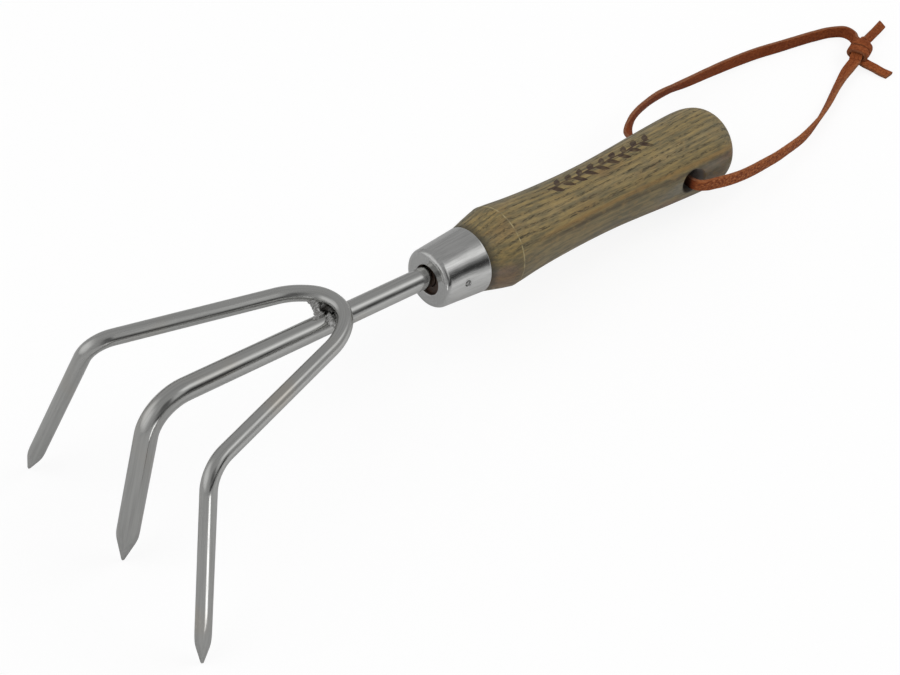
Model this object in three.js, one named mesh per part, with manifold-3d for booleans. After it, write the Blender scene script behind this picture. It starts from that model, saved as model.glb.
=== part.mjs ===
// Hand cultivator: a three-tined garden claw with a turned wooden handle and a leather hanging thong.
//
// Millimetres, +Z up. The tool lies as it rests on a bench, on its three tine points and the rim of
// the handle's butt, so z = 0 is the bench. +X runs from the tines to the butt, and the tines are
// mirrored about the plane y = 0. The origin is under the middle of the tool's length.
//
// Two local frames hold the drawing. The head frame starts at the middle of the ferrule's hole, with
// +X along the shank towards the butt. The handle frame starts at the middle of the ferrule's front
// face, with +X along the turned handle, whose axis is about a millimetre off the shank's.

import * as THREE from 'three';
import { mergeVertices } from 'three/addons/utils/BufferGeometryUtils.js';
import Module from 'manifold-3d';

const wasm = await Module();
wasm.setup();

// ---------------------------------------------------------------- driving dimensions

const DEG = Math.PI / 180;
const GAP = 0.3; // left between pieces that touch

// How the tool rests
const HEAD_AT = new THREE.Vector3(-5.9, 0, 44.2);
const HEAD_PITCH = 11.08 * DEG;
const HANDLE_AT = new THREE.Vector3(-6.05, -0.89, 43.42);
const HANDLE_PITCH = 10.81 * DEG;
const HANDLE_YAW = 0.98 * DEG;

// Centre bar: tang, shank and centre tine, one round bar (head frame)
const BAR_RADIUS = 4;
const TANG_LENGTH = 72;
const CENTRE_BEND = new THREE.Vector3(-117.2, 0, 0);
const CENTRE_TIP = new THREE.Vector3(-126.71, -1.25, -69.58);
const CENTRE_BEND_RADIUS = 15.2;

// Side tines: one thinner rod bent to a U over the shank (head frame; each tip is where it was bent to)
const ROD_RADIUS = 2.9;
const ARMS_MEET = new THREE.Vector3(-3.9, 0, 10.05); // where the straight arms would cross
const SIDE_BEND = new THREE.Vector3(-118.85, 33.55, 1.13); // the left one
const LEFT_TIP = new THREE.Vector3(-129.98, 52.74, -70.2);
const RIGHT_TIP = new THREE.Vector3(-129.76, -51.77, -70.15);
const SIDE_BEND_RADIUS = 11;
const U_RADIUS = 12.1; // round the middle of the U
const U_MIDDLE_TURN = 45 * DEG;
const U_SHOULDER_RADIUS = 26.7; // where the U opens into its arms

// Ground points of the tines
const POINT_LENGTH = 12;
const POINT_END_RADIUS = 0.5;

// Weld beads in the two corners between the U and the shank (head frame, left side)
const BEAD_AT = new THREE.Vector3(-48.1, 4.9, 4.6);
const BEAD_RADII = new THREE.Vector3(5.2, 4.0, 3.0);

// Ferrule: pressed steel cup (handle frame)
const FERRULE_LENGTH = 20.1;
const FERRULE_WALL = 1;
const FERRULE_FRONT_RADIUS = 11.3;
const FERRULE_REAR_RADIUS = 12.68;
const FERRULE_HOLE_RADIUS = 5.8;
const FERRULE_EDGE_RADIUS = 2.2;

// Brad through the side of the ferrule into the wood (handle frame)
const BRAD_X = 9.5;
const BRAD_LIFT = 11 * DEG; // above the handle's own side
const BRAD_HEAD_RADIUS = 1.15;
const BRAD_HEAD_THICKNESS = 0.9;
const BRAD_SHANK_RADIUS = 0.75;
const BRAD_LENGTH = 8;

// Turned handle (handle frame): distance from the ferrule's face, radius
const NOSE_START = 2.6;
const HANDLE_END = 155.3;
const BUTT_FLAT_RADIUS = 4.6;
const HANDLE_OUTLINE = [
  [21.2, 12.75], [27, 14.25], [31, 15.2], [33.5, 15.6],
  [37, 15.45], [41, 15.1], [46, 14.7], [54, 14.25], [64, 13.93], [76, 13.78],
  [90, 14], [104, 14.7], [118, 15.6], [129, 16.2], [137, 16.55], [142, 16.6],
  [146, 16.3], [149.5, 15.3], [152, 13.6], [153.8, 11.1], [154.9, 7.8],
];

// Thong hole across the handle (handle frame)
const HOLE_X = 126;
const HOLE_RADIUS = 4;
const HOLE_MOUTH_RADIUS = 6.2;
const HOLE_MOUTH_DEPTH = 2.2;
const HOLE_ROLL = 10.3 * DEG; // its near end is above the handle's own side

// Leather thong: flat lace
const LACE_WIDTH = 5.2;
const LACE_THICKNESS = 1.6;

// Facets
const BAR_SIDES = 20;
const ROD_SIDES = 16;
const TURNED_SIDES = 48;

// ---------------------------------------------------------------- helpers

// A closed three.js geometry as a solid that can be joined and cut.
function toSolid(geometry, matrix = new THREE.Matrix4()) {
  const bare = geometry.clone().applyMatrix4(matrix);
  bare.deleteAttribute('normal');
  bare.deleteAttribute('uv');
  const merged = mergeVertices(bare, 1e-4);
  return new wasm.Manifold(new wasm.Mesh({
    numProp: 3,
    vertProperties: merged.attributes.position.array,
    triVerts: new Uint32Array(merged.index.array),
  }));
}

function toGeometry(solid) {
  const mesh = solid.getMesh();
  const geometry = new THREE.BufferGeometry();
  geometry.setAttribute('position', new THREE.BufferAttribute(mesh.vertProperties, 3));
  geometry.setIndex(new THREE.BufferAttribute(mesh.triVerts, 1));
  geometry.computeVertexNormals();
  return geometry;
}

function material(colour, roughness, metalness) {
  return new THREE.MeshStandardMaterial({ color: colour, roughness, metalness });
}

function piece(name, geometry, look) {
  const mesh = new THREE.Mesh(geometry, look);
  mesh.name = name;
  return mesh;
}

// A section with the given half sizes: round, with as many sides as asked.
function roundSection(radius, sides) {
  const shape = new THREE.Shape();
  for (let i = 0; i < sides; i++) {
    const angle = (2 * Math.PI * i) / sides;
    const x = radius * Math.cos(angle);
    const y = radius * Math.sin(angle);
    if (i === 0) shape.moveTo(x, y);
    else shape.lineTo(x, y);
  }
  shape.closePath();
  return shape;
}

// A curve through chosen stations, each of which becomes one section of the swept solid.
class StationCurve extends THREE.Curve {
  constructor(stations) {
    super();
    this.stations = stations;
  }
  get steps() {
    return this.stations.length - 1;
  }
  getPointAt(u) {
    return this.stations[Math.round(u * this.steps)].clone();
  }
  getTangentAt(u) {
    const i = Math.round(u * this.steps);
    const before = this.stations[Math.max(i - 1, 0)];
    const after = this.stations[Math.min(i + 1, this.steps)];
    const into = this.stations[i].clone().sub(before).normalize();
    const out = after.clone().sub(this.stations[i]).normalize();
    return into.add(out).normalize();
  }
}

function sweep(shape, stations) {
  const path = new StationCurve(stations);
  return new THREE.ExtrudeGeometry(shape, {
    steps: path.steps,
    extrudePath: path,
    bevelEnabled: false,
  });
}

// The stations of a round bend that replaces the corner b between a and c.
function bend(a, b, c, radius, steps) {
  const toA = a.clone().sub(b).normalize();
  const toC = c.clone().sub(b).normalize();
  const half = toA.angleTo(toC) / 2;
  const middle = toA.clone().add(toC).normalize();
  const centre = b.clone().addScaledVector(middle, radius / Math.sin(half));
  const start = b.clone().addScaledVector(toA, radius / Math.tan(half)).sub(centre);
  const end = b.clone().addScaledVector(toC, radius / Math.tan(half)).sub(centre);
  const turn = start.angleTo(end);
  const stations = [];
  for (let i = 0; i <= steps; i++) {
    const t = i / steps;
    const p = start.clone().multiplyScalar(Math.sin((1 - t) * turn) / Math.sin(turn));
    p.addScaledVector(end, Math.sin(t * turn) / Math.sin(turn));
    stations.push(p.add(centre));
  }
  return stations;
}

// A turned solid along +X from its outline of [x, radius], closed on the axis or on itself.
function turned(outline, sides = TURNED_SIDES) {
  const points = outline.map(([x, radius]) => new THREE.Vector2(radius, x));
  return new THREE.LatheGeometry(points, sides).rotateZ(-Math.PI / 2);
}

// A cylinder or cone from one point to another.
function rodBetween(from, to, fromRadius, toRadius, sides) {
  const axis = to.clone().sub(from);
  const geometry = new THREE.CylinderGeometry(toRadius, fromRadius, axis.length(), sides);
  const turn = new THREE.Quaternion().setFromUnitVectors(
    new THREE.Vector3(0, 1, 0), axis.clone().normalize());
  geometry.applyQuaternion(turn);
  const middle = from.clone().add(to).multiplyScalar(0.5);
  return geometry.translate(middle.x, middle.y, middle.z);
}

function mirrored(v) {
  return new THREE.Vector3(v.x, -v.y, v.z);
}

// ---------------------------------------------------------------- looks

const steel = () => material(0x9a9c9b, 0.22, 1);
const weldSteel = () => material(0x6b6864, 0.5, 1);
const stainedAsh = () => material(0x7d6c4b, 0.5, 0);
const leather = () => material(0x8c4a26, 0.7, 0);

// ---------------------------------------------------------------- tines

const ROOT_OVERLAP = 0.3; // how far a ground point runs up into its rod, to be joined to it

// A tine's straight leg ends where its ground point begins.
function legEnd(corner, tip) {
  const up = corner.clone().sub(tip).normalize();
  return tip.clone().addScaledVector(up, POINT_LENGTH);
}

function groundPoint(corner, tip, radius, sides) {
  const up = corner.clone().sub(tip).normalize();
  const root = tip.clone().addScaledVector(up, POINT_LENGTH + ROOT_OVERLAP);
  return toSolid(rodBetween(root, tip, radius - 0.1, POINT_END_RADIUS, sides));
}

function centreBarStations() {
  const tangEnd = new THREE.Vector3(TANG_LENGTH, 0, 0);
  return [
    legEnd(CENTRE_BEND, CENTRE_TIP),
    ...bend(CENTRE_TIP, CENTRE_BEND, tangEnd, CENTRE_BEND_RADIUS, 12),
    tangEnd,
  ];
}

function centreTine() {
  const bar = toSolid(sweep(roundSection(BAR_RADIUS, BAR_SIDES), centreBarStations()));
  return bar.add(groundPoint(CENTRE_BEND, CENTRE_TIP, BAR_RADIUS, BAR_SIDES));
}

// Half of the U, from its middle to where the left arm is straight. Its plane holds both arms.
function halfU() {
  const armWay = SIDE_BEND.clone().sub(ARMS_MEET).normalize();
  const forward = armWay.clone().add(mirrored(armWay)).normalize();
  const sideways = new THREE.Vector3(0, 1, 0);
  const armAngle = armWay.angleTo(forward);
  const arcs = [
    { radius: U_RADIUS, turn: U_MIDDLE_TURN, steps: 5 },
    { radius: U_SHOULDER_RADIUS, turn: Math.PI / 2 - armAngle - U_MIDDLE_TURN, steps: 4 },
  ];
  let heading = Math.PI / 2;
  let ahead = 0;
  let aside = 0;
  const flat = [[0, 0]];
  for (const arc of arcs) {
    for (let i = 0; i < arc.steps; i++) {
      const step = arc.turn / arc.steps;
      const chord = 2 * arc.radius * Math.sin(step / 2);
      ahead += chord * Math.cos(heading - step / 2);
      aside += chord * Math.sin(heading - step / 2);
      heading -= step;
      flat.push([ahead, aside]);
    }
  }
  const start = aside / Math.tan(armAngle) - ahead; // puts the last station on the arm's line
  return flat.map(([u, v]) => ARMS_MEET.clone()
    .addScaledVector(forward, start + u)
    .addScaledVector(sideways, v));
}

// From the middle of the U down to where the ground point of the left tine begins.
function halfRodStations(tip) {
  return [
    ...halfU(),
    ...bend(ARMS_MEET, SIDE_BEND, tip, SIDE_BEND_RADIUS, 10),
    legEnd(SIDE_BEND, tip),
  ];
}

function sideRodStations() {
  const left = halfRodStations(LEFT_TIP);
  const right = halfRodStations(mirrored(RIGHT_TIP)).slice(1).reverse().map(mirrored);
  return [...right, ...left];
}

function sideTines() {
  let rod = toSolid(sweep(roundSection(ROD_RADIUS, ROD_SIDES), sideRodStations()));
  rod = rod.add(groundPoint(SIDE_BEND, LEFT_TIP, ROD_RADIUS, ROD_SIDES));
  return rod.add(groundPoint(mirrored(SIDE_BEND), RIGHT_TIP, ROD_RADIUS, ROD_SIDES));
}

// A bead is a lump in the corner, cut back from both rods.
function weldBead(side) {
  const lump = new THREE.SphereGeometry(1, 20, 12);
  lump.scale(BEAD_RADII.x, BEAD_RADII.y, BEAD_RADII.z);
  lump.translate(BEAD_AT.x, side * BEAD_AT.y, BEAD_AT.z);
  const shank = rodBetween(
    new THREE.Vector3(-80, 0, 0), new THREE.Vector3(-20, 0, 0),
    BAR_RADIUS + GAP, BAR_RADIUS + GAP, BAR_SIDES);
  const arc = halfU();
  const around = [...arc.slice(1).reverse().map(mirrored), ...arc];
  const rod = sweep(roundSection(ROD_RADIUS + GAP, ROD_SIDES), around);
  const cut = toSolid(lump).subtract(toSolid(shank)).subtract(toSolid(rod));
  return cut.decompose().sort((a, b) => b.volume() - a.volume())[0];
}

const head = new THREE.Group();
head.position.copy(HEAD_AT);
head.rotation.y = HEAD_PITCH;
head.add(piece('centre_tine', toGeometry(centreTine()), steel()));
head.add(piece('side_tines', toGeometry(sideTines()), steel()));
head.add(piece('weld_bead_left', toGeometry(weldBead(1)), weldSteel()));
head.add(piece('weld_bead_right', toGeometry(weldBead(-1)), weldSteel()));

// ---------------------------------------------------------------- ferrule, brad and handle

const handleGroup = new THREE.Group();
handleGroup.position.copy(HANDLE_AT);
handleGroup.rotation.set(0, HANDLE_PITCH, HANDLE_YAW, 'ZYX');
head.updateMatrixWorld(true);
handleGroup.updateMatrixWorld(true);
const headInHandle = handleGroup.matrixWorld.clone().invert().multiply(head.matrixWorld);

const ferruleTaper = (FERRULE_REAR_RADIUS - FERRULE_FRONT_RADIUS)
  / (FERRULE_LENGTH - FERRULE_EDGE_RADIUS);

function ferruleRadius(x) {
  return FERRULE_FRONT_RADIUS + ferruleTaper * (x - FERRULE_EDGE_RADIUS);
}

// The rounded front edge of the cup, as an arc of the given radius about the edge's centre.
function edgeArc(radius, steps) {
  const centreRadius = FERRULE_FRONT_RADIUS - FERRULE_EDGE_RADIUS;
  return Array.from({ length: steps + 1 }, (_, i) => {
    const angle = (i / steps) * 90 * DEG;
    return [
      FERRULE_EDGE_RADIUS - radius * Math.cos(angle),
      centreRadius + radius * Math.sin(angle),
    ];
  });
}

const bradWay = new THREE.Vector3(0, -Math.cos(BRAD_LIFT), Math.sin(BRAD_LIFT));

function onBradAxis(radius) {
  return new THREE.Vector3(BRAD_X, 0, 0).addScaledVector(bradWay, radius);
}

function ferrule() {
  const outer = edgeArc(FERRULE_EDGE_RADIUS, 5);
  const inner = edgeArc(FERRULE_EDGE_RADIUS - FERRULE_WALL, 4).reverse();
  const outline = [
    [0, FERRULE_HOLE_RADIUS],
    ...outer,
    [FERRULE_LENGTH, FERRULE_REAR_RADIUS],
    [FERRULE_LENGTH, FERRULE_REAR_RADIUS - FERRULE_WALL],
    ...inner,
    [FERRULE_WALL, FERRULE_HOLE_RADIUS],
    [0, FERRULE_HOLE_RADIUS],
  ];
  const hole = rodBetween(
    onBradAxis(6), onBradAxis(16), BRAD_HEAD_RADIUS + GAP, BRAD_HEAD_RADIUS + GAP, 16);
  return toSolid(turned(outline)).subtract(toSolid(hole));
}

function brad() {
  const top = ferruleRadius(BRAD_X);
  const underHead = top - BRAD_HEAD_THICKNESS;
  const nail = rodBetween(
    onBradAxis(top - BRAD_LENGTH), onBradAxis(underHead + 0.2),
    BRAD_SHANK_RADIUS, BRAD_SHANK_RADIUS, 12);
  const capHead = rodBetween(
    onBradAxis(underHead), onBradAxis(top), BRAD_HEAD_RADIUS, BRAD_HEAD_RADIUS, 16);
  return toSolid(nail).add(toSolid(capHead));
}

function handle() {
  const noseRadius = (x) => ferruleRadius(x) - FERRULE_WALL - GAP;
  const shoulder = FERRULE_LENGTH + GAP;
  const outline = [
    [NOSE_START, 0],
    [NOSE_START, noseRadius(NOSE_START) - 1.2],
    [NOSE_START + 1.2, noseRadius(NOSE_START + 1.2)],
    [shoulder, noseRadius(FERRULE_LENGTH)],
    [shoulder, FERRULE_REAR_RADIUS - 0.2],
    ...HANDLE_OUTLINE,
    [HANDLE_END, BUTT_FLAT_RADIUS],
    [HANDLE_END, 0],
  ];
  const tangBore = rodBetween(
    new THREE.Vector3(-10, 0, 0), new THREE.Vector3(TANG_LENGTH + 1, 0, 0),
    BAR_RADIUS + GAP, BAR_RADIUS + GAP, 24);
  const bradBore = rodBetween(
    onBradAxis(ferruleRadius(BRAD_X) - BRAD_LENGTH - GAP), onBradAxis(16),
    BRAD_SHANK_RADIUS + GAP, BRAD_SHANK_RADIUS + GAP, 12);
  let wood = toSolid(turned(outline))
    .subtract(toSolid(tangBore, headInHandle))
    .subtract(toSolid(bradBore));
  const surface = 16.1; // the wood's radius at the thong hole
  const across = new THREE.Vector3(0, Math.cos(HOLE_ROLL), -Math.sin(HOLE_ROLL));
  const at = (y) => new THREE.Vector3(HOLE_X, 0, 0).addScaledVector(across, y);
  wood = wood.subtract(toSolid(rodBetween(at(-20), at(20), HOLE_RADIUS, HOLE_RADIUS, 24)));
  for (const side of [-1, 1]) {
    const flare = (HOLE_MOUTH_RADIUS - HOLE_RADIUS) / HOLE_MOUTH_DEPTH;
    const mouth = rodBetween(
      at(side * (surface - HOLE_MOUTH_DEPTH)), at(side * (surface + 1)),
      HOLE_RADIUS, HOLE_MOUTH_RADIUS + flare, 24);
    wood = wood.subtract(toSolid(mouth));
  }
  return wood;
}

handleGroup.add(piece('ferrule', toGeometry(ferrule()), steel()));
handleGroup.add(piece('ferrule_brad', toGeometry(brad()), steel()));
handleGroup.add(piece('handle', toGeometry(handle()), stainedAsh()));

// ---------------------------------------------------------------- leather thong

// The thong is one flat lace: it passes through the handle's hole, and both strands run out past the
// butt and down to the bench, where an overhand knot of both leaves two short tails.
// Routes are in the resting frame.
const THROUGH_ROUTE = [[118.2, 14.6, 17.2], [118, 5, 18], [118, -4, 19.8], [118.2, -10.6, 21.1]];

const NEAR_ROUTE = [
  [118.3, -10.9, 21.1], [118.5, -13.1, 21.1], [119.5, -15.7, 20.8], [122.8, -17.8, 19.5],
  [127.8, -18.9, 17.9], [133, -19.75, 16.6], [139.5, -20.2, 14.9], [147, -19.9, 12.7],
  [155.05, -19.3, 10.6], [163.5, -18.7, 8.8], [172.6, -17.6, 7.1], [181.6, -16.3, 5.6],
  [190.6, -14.1, 4.4], [199.1, -11.4, 3.4], [207.6, -8.1, 2.9], [215.6, -4.65, 2.9],
  [223.1, -1.65, 3.1], [229.6, 0.5, 3.6], [235.8, 1.9, 4.4],
];

const FAR_ROUTE = [
  [118.25, 14.9, 17.2], [118.35, 18.5, 17.5], [120.4, 23.3, 17.6], [125.1, 27.5, 17.1],
  [131.7, 31.2, 16], [139.8, 33.9, 14.3], [149.1, 35.7, 12.5], [158.8, 36.2, 10.7],
  [168.6, 35.9, 8.8], [178.8, 35.9, 7], [188.9, 35.6, 5.4], [198.9, 34.7, 4.2],
  [208.7, 33, 3.4], [218.5, 30.3, 3], [227.5, 27.6, 2.9], [235.5, 25, 2.9],
  [242.6, 22.1, 2.9], [247.2, 18.1, 3.2], [247.3, 13.6, 3.8], [245.8, 10.8, 4.2],
];

const UPPER_TAIL_ROUTE = [[248, 7.1, 4.5], [253, 8.3, 3.9], [258.5, 9.6, 3.2], [263.6, 10.8, 2.9]];
const LOWER_TAIL_ROUTE = [[240.3, -1.9, 2.3], [241.1, -5, 1.6], [241.9, -8.2, 1.1], [242.9, -11.6, 1]];

const KNOT_AT = new THREE.Vector3(241.8, 4.8, 4.5);
const KNOT_RADII = new THREE.Vector3(5, 4.9, 4.2);

const LACE_SPACING = 4; // between sections of the lace

// A flat section: height along the lace's standing side, thickness across it.
function laceSection(height, thickness) {
  const h = height / 2;
  const t = thickness / 2;
  const corner = 0.45;
  const shape = new THREE.Shape();
  shape.moveTo(h, -t + corner);
  shape.lineTo(h, t - corner);
  shape.lineTo(h - corner, t);
  shape.lineTo(-h + corner, t);
  shape.lineTo(-h, t - corner);
  shape.lineTo(-h, -t + corner);
  shape.lineTo(-h + corner, -t);
  shape.lineTo(h - corner, -t);
  shape.closePath();
  return shape;
}

function lace(route, standing) {
  const curve = new THREE.CatmullRomCurve3(route.map((p) => new THREE.Vector3(...p)));
  const steps = Math.max(4, Math.round(curve.getLength() / LACE_SPACING));
  const shape = standing
    ? laceSection(LACE_WIDTH, LACE_THICKNESS)
    : laceSection(LACE_THICKNESS, LACE_WIDTH);
  return new THREE.ExtrudeGeometry(shape, { steps, extrudePath: curve, bevelEnabled: false });
}

function knot() {
  const ball = new THREE.SphereGeometry(1, 20, 14);
  ball.scale(KNOT_RADII.x, KNOT_RADII.y, KNOT_RADII.z);
  return ball.translate(KNOT_AT.x, KNOT_AT.y, KNOT_AT.z);
}

const thong = new THREE.Group();
thong.add(piece('thong_through', lace(THROUGH_ROUTE, true), leather()));
thong.add(piece('thong_near_strand', lace(NEAR_ROUTE, true), leather()));
thong.add(piece('thong_far_strand', lace(FAR_ROUTE, true), leather()));
thong.add(piece('thong_knot', knot(), leather()));
thong.add(piece('thong_upper_tail', lace(UPPER_TAIL_ROUTE, true), leather()));
thong.add(piece('thong_lower_tail', lace(LOWER_TAIL_ROUTE, false), leather()));

// ---------------------------------------------------------------- the whole tool

const cultivator = new THREE.Group();
cultivator.add(head, handleGroup, thong);

export default cultivator;
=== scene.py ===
"""Hand cultivator: the looks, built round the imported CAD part.

Metres in the row's frame, +Z up. Local drawing is in millimetres in two frames, as in the CAD: the
head frame, whose +X runs along the shank to the butt from the middle of the ferrule's hole, and the
handle frame, whose +X is the turned handle's axis from the middle of the ferrule's front face.
"""
import math
import random

import bmesh
import bpy
import numpy as np
from mathutils import Matrix, Vector, noise


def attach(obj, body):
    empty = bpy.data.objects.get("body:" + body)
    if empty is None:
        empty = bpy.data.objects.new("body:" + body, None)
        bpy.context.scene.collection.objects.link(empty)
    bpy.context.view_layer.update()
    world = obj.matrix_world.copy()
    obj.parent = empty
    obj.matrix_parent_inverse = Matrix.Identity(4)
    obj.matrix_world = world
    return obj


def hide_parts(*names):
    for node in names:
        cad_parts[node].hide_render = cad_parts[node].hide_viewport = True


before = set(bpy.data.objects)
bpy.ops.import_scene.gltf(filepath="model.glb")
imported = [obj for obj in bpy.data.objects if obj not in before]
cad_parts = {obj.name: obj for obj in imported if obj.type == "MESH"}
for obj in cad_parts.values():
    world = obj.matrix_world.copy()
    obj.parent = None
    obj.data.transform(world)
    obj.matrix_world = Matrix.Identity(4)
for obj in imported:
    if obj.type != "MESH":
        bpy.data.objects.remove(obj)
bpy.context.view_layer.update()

MM = 0.001
DEG = math.pi / 180

# ------------------------------------------------------------------ dimensions (mm)

# As in the CAD, but for what it draws more simply: the ground points, the brad's head, the wood's front
# in the ferrule, the mouths of the thong's hole, and the lace's section.

HEAD_AT = (-5.9, 0, 44.2)
HEAD_PITCH = 11.08 * DEG
HANDLE_AT = (-6.05, -0.89, 43.42)
HANDLE_PITCH = 10.81 * DEG
HANDLE_YAW = 0.98 * DEG

BAR_RADIUS = 4
TANG_LENGTH = 72
CENTRE_BEND = Vector((-117.2, 0, 0))
CENTRE_TIP = Vector((-126.71, -1.25, -69.58))
CENTRE_BEND_RADIUS = 15.2

ROD_RADIUS = 2.9
ARMS_MEET = Vector((-3.9, 0, 10.05))
SIDE_BEND = Vector((-118.85, 33.55, 1.13))
LEFT_TIP = Vector((-129.98, 52.74, -70.2))
RIGHT_TIP = Vector((-129.76, -51.77, -70.15))
SIDE_BEND_RADIUS = 11
U_RADIUS = 12.1
U_MIDDLE_TURN = 45 * DEG
U_SHOULDER_RADIUS = 26.7

POINT_LENGTH = 12
POINT_TIP_RADIUS = 0.36  # a ground flat's distance from the axis at the very tip
POINT_SOFTNESS = 1.1  # how far a point's edges are rounded over, where it meets the rod

FERRULE_LENGTH = 20.1
FERRULE_WALL = 1
FERRULE_FRONT_RADIUS = 11.3
FERRULE_REAR_RADIUS = 12.68
FERRULE_HOLE_RADIUS = 5.8
FERRULE_EDGE_RADIUS = 2.2

BRAD_X = 9.5
BRAD_LIFT = 11 * DEG
BRAD_LENGTH = 8
BRAD_HEAD_RADIUS = 0.92
BRAD_SUNK = 0.36  # how deep its crown is below the ferrule's round

NOSE_START = 1.35  # the wood's front, inside the ferrule
HANDLE_END = 155.3
BUTT_FLAT_RADIUS = 4.6
HANDLE_OUTLINE = [
    (21.2, 12.75), (27, 14.25), (31, 15.2), (33.5, 15.6),
    (37, 15.45), (41, 15.1), (46, 14.7), (54, 14.25), (64, 13.93), (76, 13.78),
    (90, 14), (104, 14.7), (118, 15.6), (129, 16.2), (137, 16.55), (142, 16.6),
    (146, 16.3), (149.5, 15.3), (152, 13.6), (153.8, 11.1), (154.9, 7.8),
]
CREST_X = 33.5

HOLE_X = 126
HOLE_RADIUS = 4
HOLE_ROLL = 10.3 * DEG  # the hole's near end is above the handle's own side
MOUTH_WORN = 1.0  # the lace has worn the hole's mouths lower than they were drilled
MOUTH_OVAL = (1.06, 0.9)  # longer along the handle than across
MOUTH_FLARE = 1.7  # how much wider than the hole the mouths are at their rims

LACE_WIDTH = 5.2
LACE_THICKNESS = 1.6
LACE_CORNER = 0.42
LACE_CROWN = 0.07  # how far its two faces swell at their middle
WRAP_WIDTH = 3.7  # where it is pulled tight round the knot

THROUGH_ROUTE = [(118.2, 14.6, 17.2), (118, 5, 18), (118, -4, 19.8), (118.2, -10.6, 21.1)]
NEAR_ROUTE = [
    (118.3, -10.9, 21.1), (118.5, -13.1, 21.1), (119.5, -15.7, 20.8), (122.8, -17.8, 19.5),
    (127.8, -18.9, 17.9), (133, -19.75, 16.6), (139.5, -20.2, 14.9), (147, -19.9, 12.7),
    (155.05, -19.3, 10.6), (163.5, -18.7, 8.8), (172.6, -17.6, 7.1), (181.6, -16.3, 5.6),
    (190.6, -14.1, 4.4), (199.1, -11.4, 3.4), (207.6, -8.1, 2.9), (215.6, -4.65, 2.9),
    (223.1, -1.65, 3.1), (229.6, 0.5, 3.6), (235.8, 1.9, 4.4),
]
FAR_ROUTE = [
    (118.25, 14.9, 17.2), (118.35, 18.5, 17.5), (120.4, 23.3, 17.6), (125.1, 27.5, 17.1),
    (131.7, 31.2, 16), (139.8, 33.9, 14.3), (149.1, 35.7, 12.5), (158.8, 36.2, 10.7),
    (168.6, 35.9, 8.8), (178.8, 35.9, 7), (188.9, 35.6, 5.4), (198.9, 34.7, 4.2),
    (208.7, 33, 3.4), (218.5, 30.3, 3), (227.5, 27.6, 2.9), (235.5, 25, 2.9),
    (242.6, 22.1, 2.9), (247.2, 18.1, 3.2), (247.3, 13.6, 3.8), (245.8, 10.8, 4.2),
]
UPPER_TAIL_ROUTE = [(248, 7.1, 4.5), (253, 8.3, 3.9), (258.5, 9.6, 3.2), (263.6, 10.8, 2.9)]
LOWER_TAIL_ROUTE = [(240.3, -1.9, 2.3), (241.1, -5, 1.6), (241.9, -8.2, 1.1), (242.9, -11.6, 1)]
KNOT_AT = Vector((241.8, 4.8, 4.5))

# ------------------------------------------------------------------ camera

CAMERA_AT = (-0.28989, -0.34173, 0.54342)
CAMERA_AZIMUTH = -40.861 * DEG
CAMERA_ELEVATION = 50.183 * DEG
CAMERA_ROLL = 0.124 * DEG
CAMERA_LENS = 75.01


def make_camera():
    data = bpy.data.cameras.new("camera")
    data.sensor_width = 36
    data.lens = CAMERA_LENS
    data.clip_start = 0.02
    data.clip_end = 50
    camera = bpy.data.objects.new("camera", data)
    bpy.context.scene.collection.objects.link(camera)
    level = math.cos(CAMERA_ELEVATION)
    back = Vector((
        math.sin(CAMERA_AZIMUTH) * level,
        -math.cos(CAMERA_AZIMUTH) * level,
        math.sin(CAMERA_ELEVATION),
    ))
    flat_right = Vector((math.cos(CAMERA_AZIMUTH), math.sin(CAMERA_AZIMUTH), 0))
    right = (flat_right * math.cos(CAMERA_ROLL)
             + back.cross(flat_right) * math.sin(CAMERA_ROLL))
    up = back.cross(right)
    turn = Matrix((right, up, back)).transposed()
    camera.matrix_world = Matrix.Translation(CAMERA_AT) @ turn.to_4x4()
    bpy.context.scene.camera = camera


make_camera()

# ------------------------------------------------------------------ frames and lines

HEAD = (Matrix.Translation(Vector(HEAD_AT) * MM)
        @ Matrix.Rotation(HEAD_PITCH, 4, "Y") @ Matrix.Scale(MM, 4))
HANDLE = (Matrix.Translation(Vector(HANDLE_AT) * MM)
          @ Matrix.Rotation(HANDLE_YAW, 4, "Z")
          @ Matrix.Rotation(HANDLE_PITCH, 4, "Y") @ Matrix.Scale(MM, 4))
ROW = Matrix.Scale(MM, 4)


def ease(low, high, x):
    """0 below low, 1 above high, and smooth between."""
    t = min(max((x - low) / (high - low), 0), 1)
    return t * t * (3 - 2 * t)


def between(stops, x):
    """The value at x of a broken line through [(x, value), ...]."""
    return float(np.interp(x, [s[0] for s in stops], [s[1] for s in stops]))


def smooth_line(points, step):
    """A centripetal Catmull-Rom curve through the points, as points about step apart."""
    p = [np.array(q, float) for q in points]
    p = [2 * p[0] - p[1]] + p + [2 * p[-1] - p[-2]]
    dense = []
    for i in range(1, len(p) - 2):
        knots = [0.0]
        for a, b in ((i - 1, i), (i, i + 1), (i + 1, i + 2)):
            knots.append(knots[-1] + max(np.linalg.norm(p[b] - p[a]), 1e-9) ** 0.5)
        t0, t1, t2, t3 = knots
        for t in np.linspace(t1, t2, 24, endpoint=False):
            a1 = (t1 - t) / (t1 - t0) * p[i - 1] + (t - t0) / (t1 - t0) * p[i]
            a2 = (t2 - t) / (t2 - t1) * p[i] + (t - t1) / (t2 - t1) * p[i + 1]
            a3 = (t3 - t) / (t3 - t2) * p[i + 1] + (t - t2) / (t3 - t2) * p[i + 2]
            b1 = (t2 - t) / (t2 - t0) * a1 + (t - t0) / (t2 - t0) * a2
            b2 = (t3 - t) / (t3 - t1) * a2 + (t - t1) / (t3 - t1) * a3
            dense.append((t2 - t) / (t2 - t1) * b1 + (t - t1) / (t2 - t1) * b2)
    dense.append(p[-2])
    return respaced(np.array(dense), step)


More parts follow.
